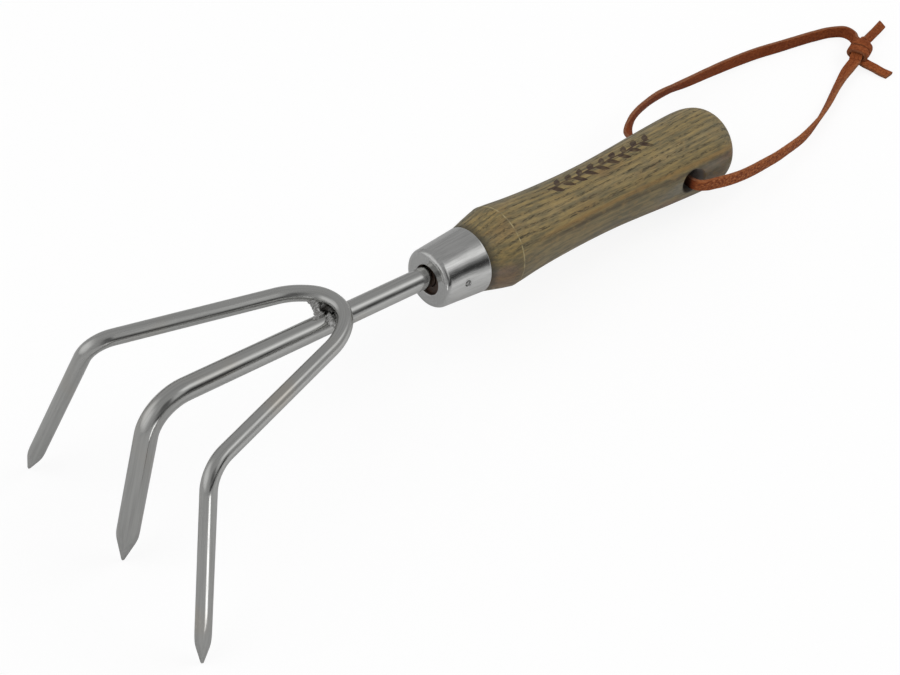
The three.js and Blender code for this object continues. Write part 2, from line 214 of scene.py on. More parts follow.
def lengths_along(line):
    steps = np.linalg.norm(np.diff(line, axis=0), axis=1)
    return np.concatenate([[0], np.cumsum(steps)])


def respaced(line, step):
    along = lengths_along(line)
    count = max(2, round(along[-1] / step) + 1)
    at = np.linspace(0, along[-1], count)
    return np.stack([np.interp(at, along, line[:, k]) for k in range(line.shape[1])], axis=1)


# ------------------------------------------------------------------ meshes

def skin(name, rings, matrix, lays=None, start=None, end=None, closed=False, marks=None):
    """A mesh over rings of points, each with as many as the next, closed round each ring.

    lays holds each point's place on the unbent piece (along, across, across), for its grain, where
    that isn't the point itself. start and end are (point, lay) poles that close the ends. closed
    joins the last ring to the first. marks is {attribute name: a number for each point, in rings}.
    """
    count = len(rings[0])
    points = [q for ring in rings for q in ring]
    places = [tuple(q) for ring in lays or rings for q in ring]
    faces = []
    pairs = list(zip(range(len(rings) - 1), range(1, len(rings))))
    if closed:
        pairs.append((len(rings) - 1, 0))
    for a, b in pairs:
        for k in range(count):
            n = (k + 1) % count
            faces.append((a * count + k, b * count + k, b * count + n, a * count + n))
    poles = []
    for pole, ring, flip in ((start, 0, False), (end, len(rings) - 1, True)):
        if pole is None:
            continue
        points.append(pole[0])
        places.append(tuple(pole[1]))
        poles.append(ring)
        middle = len(points) - 1
        for k in range(count):
            here, there = ring * count + k, ring * count + (k + 1) % count
            faces.append((middle, there, here) if flip else (middle, here, there))
    mesh = bpy.data.meshes.new(name)
    mesh.from_pydata([matrix @ Vector(q) for q in points], [], faces)
    lay = mesh.attributes.new("lay", "FLOAT_VECTOR", "POINT")
    lay.data.foreach_set("vector", (np.array(places, np.float32) * MM).ravel())
    for mark, values in (marks or {}).items():
        flat = [v for ring in values for v in ring]
        flat += [flat[ring * count] for ring in poles]
        made = mesh.attributes.new(mark, "FLOAT", "POINT")
        made.data.foreach_set("value", np.array(flat, np.float32))
    return finished(name, mesh)


def finished(name, mesh, sharp=38 * DEG):
    """Links a mesh as a new object: faces turned out, shaded smooth but for its sharp edges."""
    mesh.update()
    work = bmesh.new()
    work.from_mesh(mesh)
    bmesh.ops.recalc_face_normals(work, faces=work.faces)
    work.to_mesh(mesh)
    work.free()
    mesh.shade_smooth()
    mesh.set_sharp_from_angle(angle=sharp)
    made = bpy.data.objects.new(name, mesh)
    bpy.context.scene.collection.objects.link(made)
    return made


def baked(obj):
    """The object with its modifiers made real."""
    graph = bpy.context.evaluated_depsgraph_get()
    mesh = bpy.data.meshes.new_from_object(obj.evaluated_get(graph))
    obj.modifiers.clear()
    obj.data = mesh
    return obj


def joined(name, parts):
    """Several mesh objects as one."""
    with bpy.context.temp_override(
            active_object=parts[0], object=parts[0],
            selected_objects=parts, selected_editable_objects=parts):
        bpy.ops.object.join()
    parts[0].name = name
    return parts[0]


def tangents(line):
    ahead = np.vstack([line[1:], line[-1:] + (line[-1:] - line[-2:-1])])
    behind = np.vstack([line[:1] - (line[1:2] - line[:1]), line[:-1]])
    into = line - behind
    out = ahead - line
    into /= np.linalg.norm(into, axis=1)[:, None]
    out /= np.linalg.norm(out, axis=1)[:, None]
    way = into + out
    return way / np.linalg.norm(way, axis=1)[:, None]


def carried_sides(line, first_side):
    """A side direction at each point of a line, carried along it without twisting."""
    ways = [Vector(w) for w in tangents(line)]
    side = Vector(first_side)
    sides = []
    for i, way in enumerate(ways):
        if i:
            side = ways[i - 1].rotation_difference(way) @ side
        side = (side - way * side.dot(way)).normalized()
        sides.append(side.copy())
    return ways, sides


# ------------------------------------------------------------------ tines

def arc_bend(a, b, c, radius, steps):
    """Points on the round bend that replaces the corner b between a and c."""
    to_a = (a - b).normalized()
    to_c = (c - b).normalized()
    half = to_a.angle(to_c) / 2
    centre = b + (to_a + to_c).normalized() * (radius / math.sin(half))
    start = b + to_a * (radius / math.tan(half)) - centre
    end = b + to_c * (radius / math.tan(half)) - centre
    turn = start.angle(end)
    made = []
    for i in range(steps + 1):
        t = i / steps
        made.append(centre + (start * math.sin((1 - t) * turn)
                              + end * math.sin(t * turn)) / math.sin(turn))
    return made


def mirrored(v):
    return Vector((v.x, -v.y, v.z))


def half_u(steps):
    """Half of the U, from its middle to where the left arm is straight."""
    arm_way = (SIDE_BEND - ARMS_MEET).normalized()
    forward = (arm_way + mirrored(arm_way)).normalized()
    arm_angle = arm_way.angle(forward)
    arcs = (
        (U_RADIUS, U_MIDDLE_TURN),
        (U_SHOULDER_RADIUS, math.pi / 2 - arm_angle - U_MIDDLE_TURN),
    )
    heading = math.pi / 2
    ahead = aside = 0.0
    flat = [(0.0, 0.0)]
    for radius, turn in arcs:
        step = turn / steps
        chord = 2 * radius * math.sin(step / 2)
        for _ in range(steps):
            ahead += chord * math.cos(heading - step / 2)
            aside += chord * math.sin(heading - step / 2)
            heading -= step
            flat.append((ahead, aside))
    start = aside / math.tan(arm_angle) - ahead
    return [ARMS_MEET + forward * (start + u) + Vector((0, 1, 0)) * v for u, v in flat]


def straight(a, b, step):
    count = max(1, round((b - a).length / step))
    return [a.lerp(b, i / count) for i in range(count + 1)]


def without_repeats(points):
    kept = [points[0]]
    for p in points[1:]:
        if (p - kept[-1]).length > 1e-4:
            kept.append(p)
    return kept


LEG_STEP = 3.0  # mm between rings along a straight leg
POINT_STEP = 0.16  # and along a ground point
CENTRE_BEND_STEPS = 30
SIDE_BEND_STEPS = 26
U_ARC_STEPS = 26
POINT_STRETCH = 1.3  # how much longer than POINT_LENGTH a point's flats run out
ROD_SIDES = 88

# The flats of a ground point: direction round the tine, and how much longer than the others each is.
POINT_FLATS = ((1, 0, 1.0), (-1, 0, 1.08), (0, 1, 0.94), (0, -1, 1.03))


def soft_least(a, b, blend):
    gap = max(blend - abs(a - b), 0) / blend
    return min(a, b) - gap * gap * blend / 4


def point_radius(way, front, side, distance, radius):
    """How far a ground point's surface is from its axis, in the direction way."""
    best = radius
    for f, s, share in POINT_FLATS:
        facing = way.dot(front) * f + way.dot(side) * s
        if facing > 0.2:
            length = POINT_LENGTH * share * radius / BAR_RADIUS * POINT_STRETCH
            grown = distance / length
            flat = POINT_TIP_RADIUS + (radius - POINT_TIP_RADIUS) * grown
            best = soft_least(best, flat / facing, POINT_SOFTNESS * grown + 0.08)
    if distance < POINT_TIP_RADIUS * 0.6:
        worn = 1 - distance / (POINT_TIP_RADIUS * 0.6)
        best *= math.sqrt(max(1 - worn * worn, 0.0))
    return max(best, 0.01)


def tine_rod(name, points, first_side, radius, pointed, nodes):
    """A round rod along points with ground points at the ends named in pointed."""
    line = np.array([tuple(p) for p in without_repeats(points)])
    ways, sides = carried_sides(line, first_side)
    along = lengths_along(line)
    total = along[-1]
    rings, lays = [], []
    for i, (centre, way, side) in enumerate(zip(line, ways, sides)):
        up = way.cross(side)
        from_end = min(
            along[i] if "start" in pointed else 1e9,
            total - along[i] if "end" in pointed else 1e9,
        )
        front = Vector((-1, 0, 0))
        front = (front - way * front.dot(way)).normalized()
        across = way.cross(front)
        ring, lay = [], []
        for k in range(ROD_SIDES):
            angle = 2 * math.pi * k / ROD_SIDES
            out = side * math.cos(angle) + up * math.sin(angle)
            r = radius
            if from_end < POINT_LENGTH * 2:
                r = point_radius(out, front, across, from_end, radius)
            ring.append(Vector(centre) + out * r)
            lay.append((along[i], r * math.cos(angle), r * math.sin(angle)))
        rings.append(ring)
        lays.append(lay)
    start = (Vector(line[0]), (0, 0, 0))
    end = (Vector(line[-1]), (total, 0, 0))
    made = skin(name, rings, HEAD, lays, start, end)
    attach(made, "cultivator")
    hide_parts(*nodes)
    return made


def tine_leg(tip, corner):
    """Points from just inside a tine's tip to the corner of its bend, close together at its point."""
    way = (corner - tip).normalized()
    close = tip + way * (POINT_LENGTH * 2.05)
    return straight(tip + way * 0.02, close, POINT_STEP) + straight(close, corner, LEG_STEP)


def upto(points, end_point, margin=0.05):
    """The points before the foot of a bend's first point, so that the two join."""
    way = (points[-1] - points[0]).normalized()
    limit = (end_point - points[0]).dot(way) - margin
    return [p for p in points if (p - points[0]).dot(way) < limit]


def centre_bar():
    tang_end = Vector((TANG_LENGTH, 0, 0))
    bend = arc_bend(CENTRE_TIP, CENTRE_BEND, tang_end, CENTRE_BEND_RADIUS, CENTRE_BEND_STEPS)
    leg = upto(tine_leg(CENTRE_TIP, CENTRE_BEND), bend[0])
    points = leg + bend + straight(bend[-1], tang_end, LEG_STEP)[1:]
    return tine_rod("centre_bar", points, (0, 1, 0), BAR_RADIUS, ("start",), ("centre_tine",))


def half_rod(tip, u):
    """Points from a side tine's tip up to the middle of the U."""
    bend = arc_bend(ARMS_MEET, SIDE_BEND, tip, SIDE_BEND_RADIUS, SIDE_BEND_STEPS)
    leg = upto(tine_leg(tip, SIDE_BEND), bend[-1])
    return leg + bend[::-1] + straight(bend[0], u[-1], LEG_STEP)[1:-1] + u[::-1]


def side_rod():
    u = half_u(U_ARC_STEPS)
    left = half_rod(LEFT_TIP, u)
    right = half_rod(mirrored(RIGHT_TIP), u)
    points = left + [mirrored(p) for p in right[::-1][1:]]
    return tine_rod("side_rod", points, (0, 0, 1), ROD_RADIUS, ("start", "end"), ("side_tines",))


# ------------------------------------------------------------------ welds

# Lumps of weld metal in the corner between the U and the shank: (x, y, z, radius) in the head frame.
LEFT_LUMPS = [
    (-49.3, 1.1, 4.3, 0.7), (-48.6, 1.9, 4.6, 1.0), (-47.8, 2.7, 4.8, 1.25), (-47.2, 3.6, 4.8, 1.5),
    (-46.7, 4.6, 4.9, 1.6), (-46.4, 5.6, 5.1, 1.6), (-46.6, 6.6, 5.3, 1.4), (-47.1, 7.5, 5.5, 1.1),
    (-47.8, 8.4, 5.7, 0.8), (-48.6, 9.2, 5.8, 0.5), (-45.3, 3.4, 4.2, 1.5), (-44.9, 5.0, 4.2, 1.6),
    (-45.2, 6.4, 4.6, 1.4), (-46.7, 3.2, 3.3, 1.3), (-45.5, 4.6, 3.0, 1.3), (-47.5, 2.2, 4.0, 1.0),
    (-44.3, 1.6, 4.7, 1.1), (-44.1, 0.6, 4.9, 0.8), (-47.4, 4.9, 5.4, 1.0), (-47.1, 6.3, 5.9, 0.9),
    (-44.2, 3.0, 4.6, 1.4), (-43.6, 4.6, 4.2, 1.5), (-44.0, 1.4, 4.9, 1.1), (-44.0, 6.0, 4.4, 1.4),
    (-50.2, 0.9, 4.1, 0.8), (-49.2, 0.7, 4.2, 0.9), (-48.1, 0.7, 4.3, 1.0), (-47.0, 0.9, 4.4, 1.0),
]
RIGHT_LUMPS = [
    (-45.2, -0.5, 4.8, 0.7), (-45.6, -1.3, 4.6, 1.0), (-45.9, -2.1, 4.3, 1.15),
    (-45.8, -3.0, 3.9, 1.3), (-45.6, -3.9, 3.4, 1.25), (-45.7, -4.8, 3.4, 1.1),
    (-46.1, -5.7, 3.8, 0.8), (-44.6, -2.4, 3.9, 1.1), (-44.4, -4.0, 3.6, 1.3),
    (-46.9, -2.0, 3.9, 0.7), (-46.6, -3.4, 3.3, 0.9),
]


WELD_VOXEL = 0.16
BEAD_RIPPLE = 0.13
BEAD_GRIT = 0.05


def weld(name, lumps, node):
    """A rippled bead laid in the corner between the U and the shank, on one side of the shank."""
    draw = random.Random(name)
    parts = []
    for x, y, z, size in lumps:
        bpy.ops.mesh.primitive_ico_sphere_add(subdivisions=3, radius=size * draw.uniform(0.95, 1.06))
        ball = bpy.context.object
        ball.data.transform(Matrix.Translation((x, y, z)))
        parts.append(ball)
    lump = joined(name, parts)
    melt = lump.modifiers.new("melt", "REMESH")
    melt.mode = "VOXEL"
    melt.voxel_size = WELD_VOXEL
    soften = lump.modifiers.new("soften", "SMOOTH")
    soften.iterations = 6
    baked(lump)
    mesh = lump.data
    normals = [v.normal.copy() for v in mesh.vertices]
    for v, n in zip(mesh.vertices, normals):
        run = v.co.y * 2.3 + 1.2 * noise.noise(v.co * 0.5)
        ripple = math.sin(run * 2.4) * ease(-0.2, 0.6, n.z * 0.5 - n.x * 0.8)
        grit = noise.noise(v.co * 2.6)
        v.co += n * (BEAD_RIPPLE * ripple + BEAD_GRIT * grit)
    lay = mesh.attributes.new("lay", "FLOAT_VECTOR", "POINT")
    co = np.array([tuple(v.co) for v in mesh.vertices], np.float32) * MM
    lay.data.foreach_set("vector", co.ravel())
    mesh.transform(HEAD)
    mesh.shade_smooth()
    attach(lump, "cultivator")
    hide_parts(node)
    return lump


# ------------------------------------------------------------------ ferrule and brad

def ferrule_radius(x):
    taper = ((FERRULE_REAR_RADIUS - FERRULE_FRONT_RADIUS)
             / (FERRULE_LENGTH - FERRULE_EDGE_RADIUS))
    return FERRULE_FRONT_RADIUS + taper * (x - FERRULE_EDGE_RADIUS)


def around(count, centre, half_width, crowd):
    """Angles round a ring, crowd times closer together near centre."""
    fine = np.linspace(-math.pi, math.pi, 4001)
    density = 1 + (crowd - 1) * np.exp(-(fine / half_width) ** 4)
    total = np.concatenate([[0], np.cumsum((density[1:] + density[:-1]) / 2)])
    at = np.interp(np.linspace(0, total[-1], count, endpoint=False), total, fine)
    return [float(a) + centre for a in at]


def off_angle(angle, middle):
    """How far an angle is from middle, from -pi to pi."""
    return (angle - middle + math.pi) % (2 * math.pi) - math.pi


# Angles round the handle start at its +Y side and grow over its top, so that pi is the near side.
BRAD_ANGLE = math.pi - BRAD_LIFT
PRESSED_DEPTH = 0.26  # the shallow dent that pressing left round the brad
PRESSED_LENGTH = 6.5
PRESSED_WIDTH = 3.6
DIMPLE_DEPTH = 0.75  # the small round dimple that the brad's head sits in
DIMPLE_EDGE = (0.95, 1.4)
DIMPLE_RIM_AT = 1.65
DIMPLE_RIM_RISE = 0.05


def ridge(off):
    """The fine raised line that pressing left round the ferrule's flat face."""
    return 0.09 * math.exp(-(off / 0.34) ** 2)


def ferrule():
    edge = FERRULE_EDGE_RADIUS
    flat_to = FERRULE_FRONT_RADIUS - edge
    lip = 0.35
    outline = []
    for i in range(7):  # the hole's rounded rim
        a = math.pi / 2 * i / 6
        outline.append((lip - lip * math.sin(a), FERRULE_HOLE_RADIUS + lip - lip * math.cos(a), 0))
    for r in np.linspace(FERRULE_HOLE_RADIUS + lip, flat_to, 16)[1:-1]:
        outline.append((-ridge(float(r) - flat_to), float(r), 0))
    for i in range(21):
        a = math.pi / 2 * i / 20
        r = flat_to + edge * math.sin(a)
        outline.append((edge - edge * math.cos(a) - ridge(r - flat_to), r, 0))
    stations = sorted(set(
        [round(float(x), 3) for x in np.arange(edge + 0.5, FERRULE_LENGTH - 0.45, 0.5)]
        + [round(float(x), 3) for x in np.arange(BRAD_X - 2.6, BRAD_X + 2.6, 0.11)]))
    outline += [(x, ferrule_radius(x), 1) for x in stations]
    roll = 0.32
    for i in range(6):
        a = math.pi / 2 * i / 5
        outline.append((FERRULE_LENGTH - roll + roll * math.sin(a),
                        FERRULE_REAR_RADIUS - roll + roll * math.cos(a), 0))
    outline.append((FERRULE_LENGTH, FERRULE_REAR_RADIUS - FERRULE_WALL, 0))
    for x in np.linspace(FERRULE_LENGTH - 2, edge + 0.2, 8):
        outline.append((float(x), ferrule_radius(float(x)) - FERRULE_WALL, 0))
    inner = edge - FERRULE_WALL
    for i in range(6):
        a = math.pi / 2 * (1 - i / 5)
        outline.append((edge - inner * math.cos(a), flat_to + inner * math.sin(a), 0))
    outline.append((FERRULE_WALL, FERRULE_HOLE_RADIUS, 0))
    angles = around(300, BRAD_ANGLE, 16 * DEG, 7)
    rings = []
    for x, r, outer in outline:
        ring = []
        for a in angles:
            out = r
            if outer:
                d_along = x - BRAD_X
                d_round = r * off_angle(a, BRAD_ANGLE)
                away = math.hypot(d_along, d_round)
                spread = (d_along / PRESSED_LENGTH) ** 2 + (d_round / PRESSED_WIDTH) ** 2
                out -= PRESSED_DEPTH * math.exp(-spread)
                out += DIMPLE_RIM_RISE * math.exp(-((away - DIMPLE_RIM_AT) / 0.3) ** 2)
                out -= DIMPLE_DEPTH * (1 - ease(*DIMPLE_EDGE, away))
                out += 0.02 * noise.noise(Vector((x * 0.25, math.cos(a) * 1.6, math.sin(a) * 1.6)))
            ring.append(Vector((x, out * math.cos(a), out * math.sin(a))))
        rings.append(ring)
    made = skin("steel_ferrule", rings, HANDLE, closed=True)
    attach(made, "cultivator")
    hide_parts("ferrule")
    return made


def brad():
    """The brad: a small domed head, sunk in its dimple, on its shank in the wood."""
    top = ferrule_radius(BRAD_X) - BRAD_SUNK
    outline = [(top - BRAD_LENGTH, 0.12), (top - BRAD_LENGTH + 1.2, 0.72), (top - 1.3, 0.75),
               (top - 0.9, 0.78), (top - 0.62, 0.86), (top - 0.4, BRAD_HEAD_RADIUS)]
    for i in range(1, 9):
        a = math.pi / 2 * i / 8
        outline.append((top - 0.4 + 0.4 * math.sin(a), BRAD_HEAD_RADIUS * math.cos(a) + 0.02))
    way = Vector((0, math.cos(BRAD_ANGLE), math.sin(BRAD_ANGLE)))
    side = Vector((1, 0, 0))
    up = way.cross(side)
    middle = Vector((BRAD_X, 0, 0))
    rings = []
    for h, r in outline:
        ring = []
        for k in range(40):
            a = 2 * math.pi * k / 40
            dent = 0.05 * noise.noise(Vector((math.cos(a) * r * 1.7, math.sin(a) * r * 1.7, 5)))
            ring.append(middle + way * (h + (dent if h > top - 0.5 else 0))
                        + (side * math.cos(a) + up * math.sin(a)) * r)
        rings.append(ring)
    foot = middle + way * outline[0][0]
    crown = middle + way * (outline[-1][0] + 0.005)
    made = skin("brad", rings, HANDLE, start=(foot, foot), end=(crown, crown))
    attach(made, "cultivator")
    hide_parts("ferrule_brad")
    return made


# ------------------------------------------------------------------ handle

MOTIF_START = 60  # the burnt leaf sprig along the top of the handle
MOTIF_END = 115
MOTIF_ANGLE = 80.5 * DEG
LEAF_PITCH = 6.0
LEAF_LENGTH = 5.6
LEAF_LEAN = 41 * DEG
BURN_DEPTH = 0.16
CREST_RISE = 0.13  # the fine raised line round the shoulder's crest
HAND_TURNED = 0.05  # how far the wood strays from a true lathe


def burnt(x, v):
    """How deep the sprig is burnt at x along the handle and v millimetres round from its middle."""
    if not MOTIF_START - 2 < x < MOTIF_END + 2 or abs(v) > 4.5:
        return 0.0
    stem_v = 0.3 * math.sin((x - MOTIF_START) * 0.5)
    deep = 0.0
    if MOTIF_START < x < MOTIF_END:
        deep = 1 - ease(0.30, 0.52, abs(v - stem_v))
    count = int((MOTIF_END - MOTIF_START - LEAF_LENGTH) / LEAF_PITCH) + 1
    for i in range(count):
        root = MOTIF_START + 1.6 + i * LEAF_PITCH
        for side in (-1, 1):
            dx = x - root - (0 if side > 0 else LEAF_PITCH / 2)
            dv = (v - stem_v) * side
            run = dx * math.cos(LEAF_LEAN) + dv * math.sin(LEAF_LEAN)
            rise = -dx * math.sin(LEAF_LEAN) + dv * math.cos(LEAF_LEAN)
            if not 0 < run < LEAF_LENGTH:
                continue
            half = 1.25 * math.sin(math.pi * (run / LEAF_LENGTH) ** 0.8) ** 0.9
            deep = max(deep, 1 - ease(half - 0.12, half + 0.14, abs(rise)))
    return deep


def handle_profile():
    """[x, radius] down the outside of the wood, from its nose in the ferrule to the butt's middle."""
    nose = [(NOSE_START, 0.6), (NOSE_START, 4.0), (NOSE_START + 0.1, FERRULE_FRONT_RADIUS - 3.4),
            (NOSE_START + 1.8, FERRULE_FRONT_RADIUS - 1.6), (9, ferrule_radius(9) - 1.35),
            (FERRULE_LENGTH - 0.4, ferrule_radius(FERRULE_LENGTH) - 1.35)]
    shoulder = [(FERRULE_LENGTH + 0.12, FERRULE_REAR_RADIUS - 1.1),
                (FERRULE_LENGTH + 0.16, FERRULE_REAR_RADIUS - 0.35),
                (FERRULE_LENGTH + 0.45, FERRULE_REAR_RADIUS - 0.12)]
    body = smooth_line(HANDLE_OUTLINE + [(HANDLE_END, BUTT_FLAT_RADIUS)], 0.05)
    along = lengths_along(body)
    picked = []
    at = 0.0
    while at < along[-1]:
        x = float(np.interp(at, along, body[:, 0]))
        picked.append((x, float(np.interp(at, along, body[:, 1]))))
        if abs(x - CREST_X) < 1.2:
            at += 0.12
        elif MOTIF_START - 2 < x < MOTIF_END + 2:
            at += 0.24
        else:
            at += 0.5
    butt = [(HANDLE_END + 0.03, 3.4), (HANDLE_END + 0.05, 2.0), (HANDLE_END + 0.05, 0.8)]
    return nose + shoulder + picked + [(HANDLE_END, BUTT_FLAT_RADIUS)] + butt


CUTTER_SIDES = 96


def cutter(name, outline, matrix):
    """A closed lathe along +Y of the handle frame, to cut with."""
    rings = []
    for y, r in outline:
        angles = (2 * math.pi * k / CUTTER_SIDES for k in range(CUTTER_SIDES))
        rings.append([Vector((r * math.cos(a), y, r * math.sin(a))) for a in angles])
    start, end = [(Vector((0, outline[i][0], 0)), (0, 0, 0)) for i in (0, -1)]
    return skin(name, rings, matrix, start=start, end=end)


def handle():
    angles = around(250, MOTIF_ANGLE, 24 * DEG, 4.5)
    rings, marks = [], []
    for x, r in handle_profile():
        ring, mark = [], []
        for a in angles:
            out = r
            deep = burnt(x, r * off_angle(a, MOTIF_ANGLE))
            if x > FERRULE_LENGTH + 1:
                out += CREST_RISE * math.exp(-((x - CREST_X) / 0.3) ** 2)
                out -= 0.05 * math.exp(-((x - CREST_X - 0.75) / 0.25) ** 2)
                stray = noise.noise(Vector((x * 0.035, math.cos(a) * 1.3, math.sin(a) * 1.3)))
                out += HAND_TURNED * stray
                out -= BURN_DEPTH * deep
            at = x
            if x < NOSE_START + 0.05:
                at += 0.3 * noise.noise(Vector((math.cos(a) * r * 0.7, math.sin(a) * r * 0.7, 3)))
            ring.append(Vector((at, out * math.cos(a), out * math.sin(a))))
            mark.append(deep)
        rings.append(ring)
        marks.append(mark)
    nose = Vector((NOSE_START, 0, 0))
    butt = Vector((HANDLE_END + 0.05, 0, 0))
    made = skin("ash_handle", rings, Matrix.Identity(4), start=(nose, nose), end=(butt, butt),
                marks={"burnt": marks})

    bell = []
    for side in (-1, 1):
        half = [(side * y, r) for y, r in ((0, 3.0), (11, 3.0), (12.4, 3.9))]
        for y in (13.4, 13.9, 14.3, 14.7, 15.1, 15.5, 15.9, 16.3, 16.8, 17.6):
            grown = max(y - 13.2, 0) / 2.9
            half.append((side * y, HOLE_RADIUS + 0.2 + MOUTH_FLARE * grown ** 1.6))
        bell.append(half)
    drilled = Matrix.Translation((HOLE_X, 0, 0)) @ Matrix.Rotation(-HOLE_ROLL, 4, "X")
    worn = (Matrix.Translation((HOLE_X, 0, -MOUTH_WORN)) @ Matrix.Rotation(-HOLE_ROLL, 4, "X")
            @ Matrix.Diagonal((MOUTH_OVAL[0], 1, MOUTH_OVAL[1], 1)))
    hole = cutter("hole_cutter", [(-20, HOLE_RADIUS + 0.1), (20, HOLE_RADIUS + 0.1)], drilled)
    mouths = cutter("mouths_cutter", bell[0][::-1][:-1] + bell[1], worn)

    head_in_handle = HANDLE.inverted() @ HEAD
    turn = head_in_handle @ Matrix.Rotation(-math.pi / 2, 4, "Z")
    bore = cutter("bore_cutter", [(-12, 4.35), (20, 4.3), (TANG_LENGTH + 1, 4.3)], turn)
    for tool in (hole, mouths, bore):
        cut = made.modifiers.new("cut", "BOOLEAN")
        cut.operation = "DIFFERENCE"
        cut.solver = "EXACT"
        cut.object = tool
    baked(made)
    for tool in (hole, mouths, bore):
        bpy.data.objects.remove(tool)
    made.data.shade_smooth()
    made.data.set_sharp_from_angle(angle=34 * DEG)
    made.matrix_world = HANDLE @ Matrix.Scale(1 / MM, 4)
    made.data.transform(Matrix.Scale(MM, 4))
    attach(made, "cultivator")
    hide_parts("handle")
    return made


# ------------------------------------------------------------------ leather thong

def lace_section(width, thickness):
    """Points round a lace's section: (across its width, across its thickness, how near a cut edge)."""
    a, b, corner = width / 2, thickness / 2, LACE_CORNER
    made = []
    for side in (1, -1):
        for i in range(9):
            w = (a - corner) * (1 - 2 * i / 8) * side
            crown = LACE_CROWN * (1 - (w / a) ** 2)
            made.append((w, (b + crown) * side, 0.0))
        for i in range(1, 6):
            turn = math.pi / 2 * i / 6
            made.append((side * (-(a - corner) - corner * math.sin(turn)),
                         side * (b - corner + corner * math.cos(turn)), i / 5))
        made.append((-side * a, side * (b - corner) * 0.4, 1.0))
        made.append((-side * a, -side * (b - corner) * 0.4, 1.0))
        for i in range(1, 6):
            turn = math.pi / 2 * (1 - i / 6)
            made.append((side * (-(a - corner) - corner * math.sin(turn)),
                         -side * (b - corner + corner * math.cos(turn)), (6 - i) / 5))
    return made


def lace(name, line, wide_ways, width=LACE_WIDTH, thickness=LACE_THICKNESS, step=0.55,
         narrow=None, cut=(0, 0), seed=0.0, tone=((0, 0.5), (1, 0.5)), sag=((0, 0), (1, 0))):
    """A flat lace along a line of points. wide_ways is [(share of its length, direction of its width)].

    narrow is [(share, factor)] for a width that changes, cut slants the two ends, in mm, tone is
    [(share, how faded the leather is)], below 0 where the lace is painted dark, as shade, in the hole,
    and sag is [(share, mm)] by which the lace hangs below its line.
    """
    line = smooth_line(line, step)
    along = lengths_along(line)
    total = along[-1]
    ways = [Vector(w) for w in tangents(line)]
    section = lace_section(width, thickness)
    rings, lays, marks, tones = [], [], [], []
    for i, (centre, way) in enumerate(zip(line, ways)):
        share = along[i] / total
        wide = Vector([between([(s, w[k]) for s, w in wide_ways], share) for k in range(3)])
        wide = (wide - way * wide.dot(way)).normalized()
        thin = way.cross(wide)
        factor = between(narrow, share) if narrow else 1
        factor *= 1 + 0.035 * noise.noise(Vector((along[i] * 0.09, seed, 1)))
        swell = 1 + 0.07 * noise.noise(Vector((along[i] * 0.13, seed, 7)))
        sway = 0.1 * noise.noise(Vector((along[i] * 0.06, seed, 12)))
        hung = Vector(centre) - Vector((0, 0, between(sag, share)))
        ring, lay, mark = [], [], []
        for w, t, edge in section:
            lumpy = 0.05 * noise.noise(Vector((along[i] * 0.8, w * 0.8 + seed, t * 0.8)))
            slant = 0.0
            if i < 3:
                slant = cut[0] * w / width
            if i > len(line) - 4:
                slant = cut[1] * w / width
            place = (hung + wide * (w * factor) + thin * (t * swell * (1 + lumpy) + sway)
                     + way * slant)
            ring.append(place)
            lay.append((along[i] + seed * 40, w, t))
            mark.append(edge)
        rings.append(ring)
        lays.append(lay)
        marks.append(mark)
        tones.append([between(tone, share)] * len(section))
    ends = []
    for i, slanted in ((0, -1), (-1, 1)):
        middle = sum(rings[i], Vector()) / len(rings[i])
        # the cut end is very slightly domed
        inner = [middle + (q - middle) * 0.86 + ways[i] * (0.07 * slanted) for q in rings[i]]
        ends.append((inner, lays[i], middle + ways[i] * (0.1 * slanted)))
    rings = [ends[0][0]] + rings + [ends[1][0]]
    lays = [ends[0][1]] + lays + [ends[1][1]]
    marks = [[1.0] * len(section)] + marks + [[1.0] * len(section)]
    tones = tones[:1] + tones + tones[-1:]
    return skin(name, rings, ROW, lays, start=(ends[0][2], lays[0][0]),
                end=(ends[1][2], lays[-1][0]), marks={"edge": marks, "tone": tones})


UPRIGHT = (0, 0, 1)


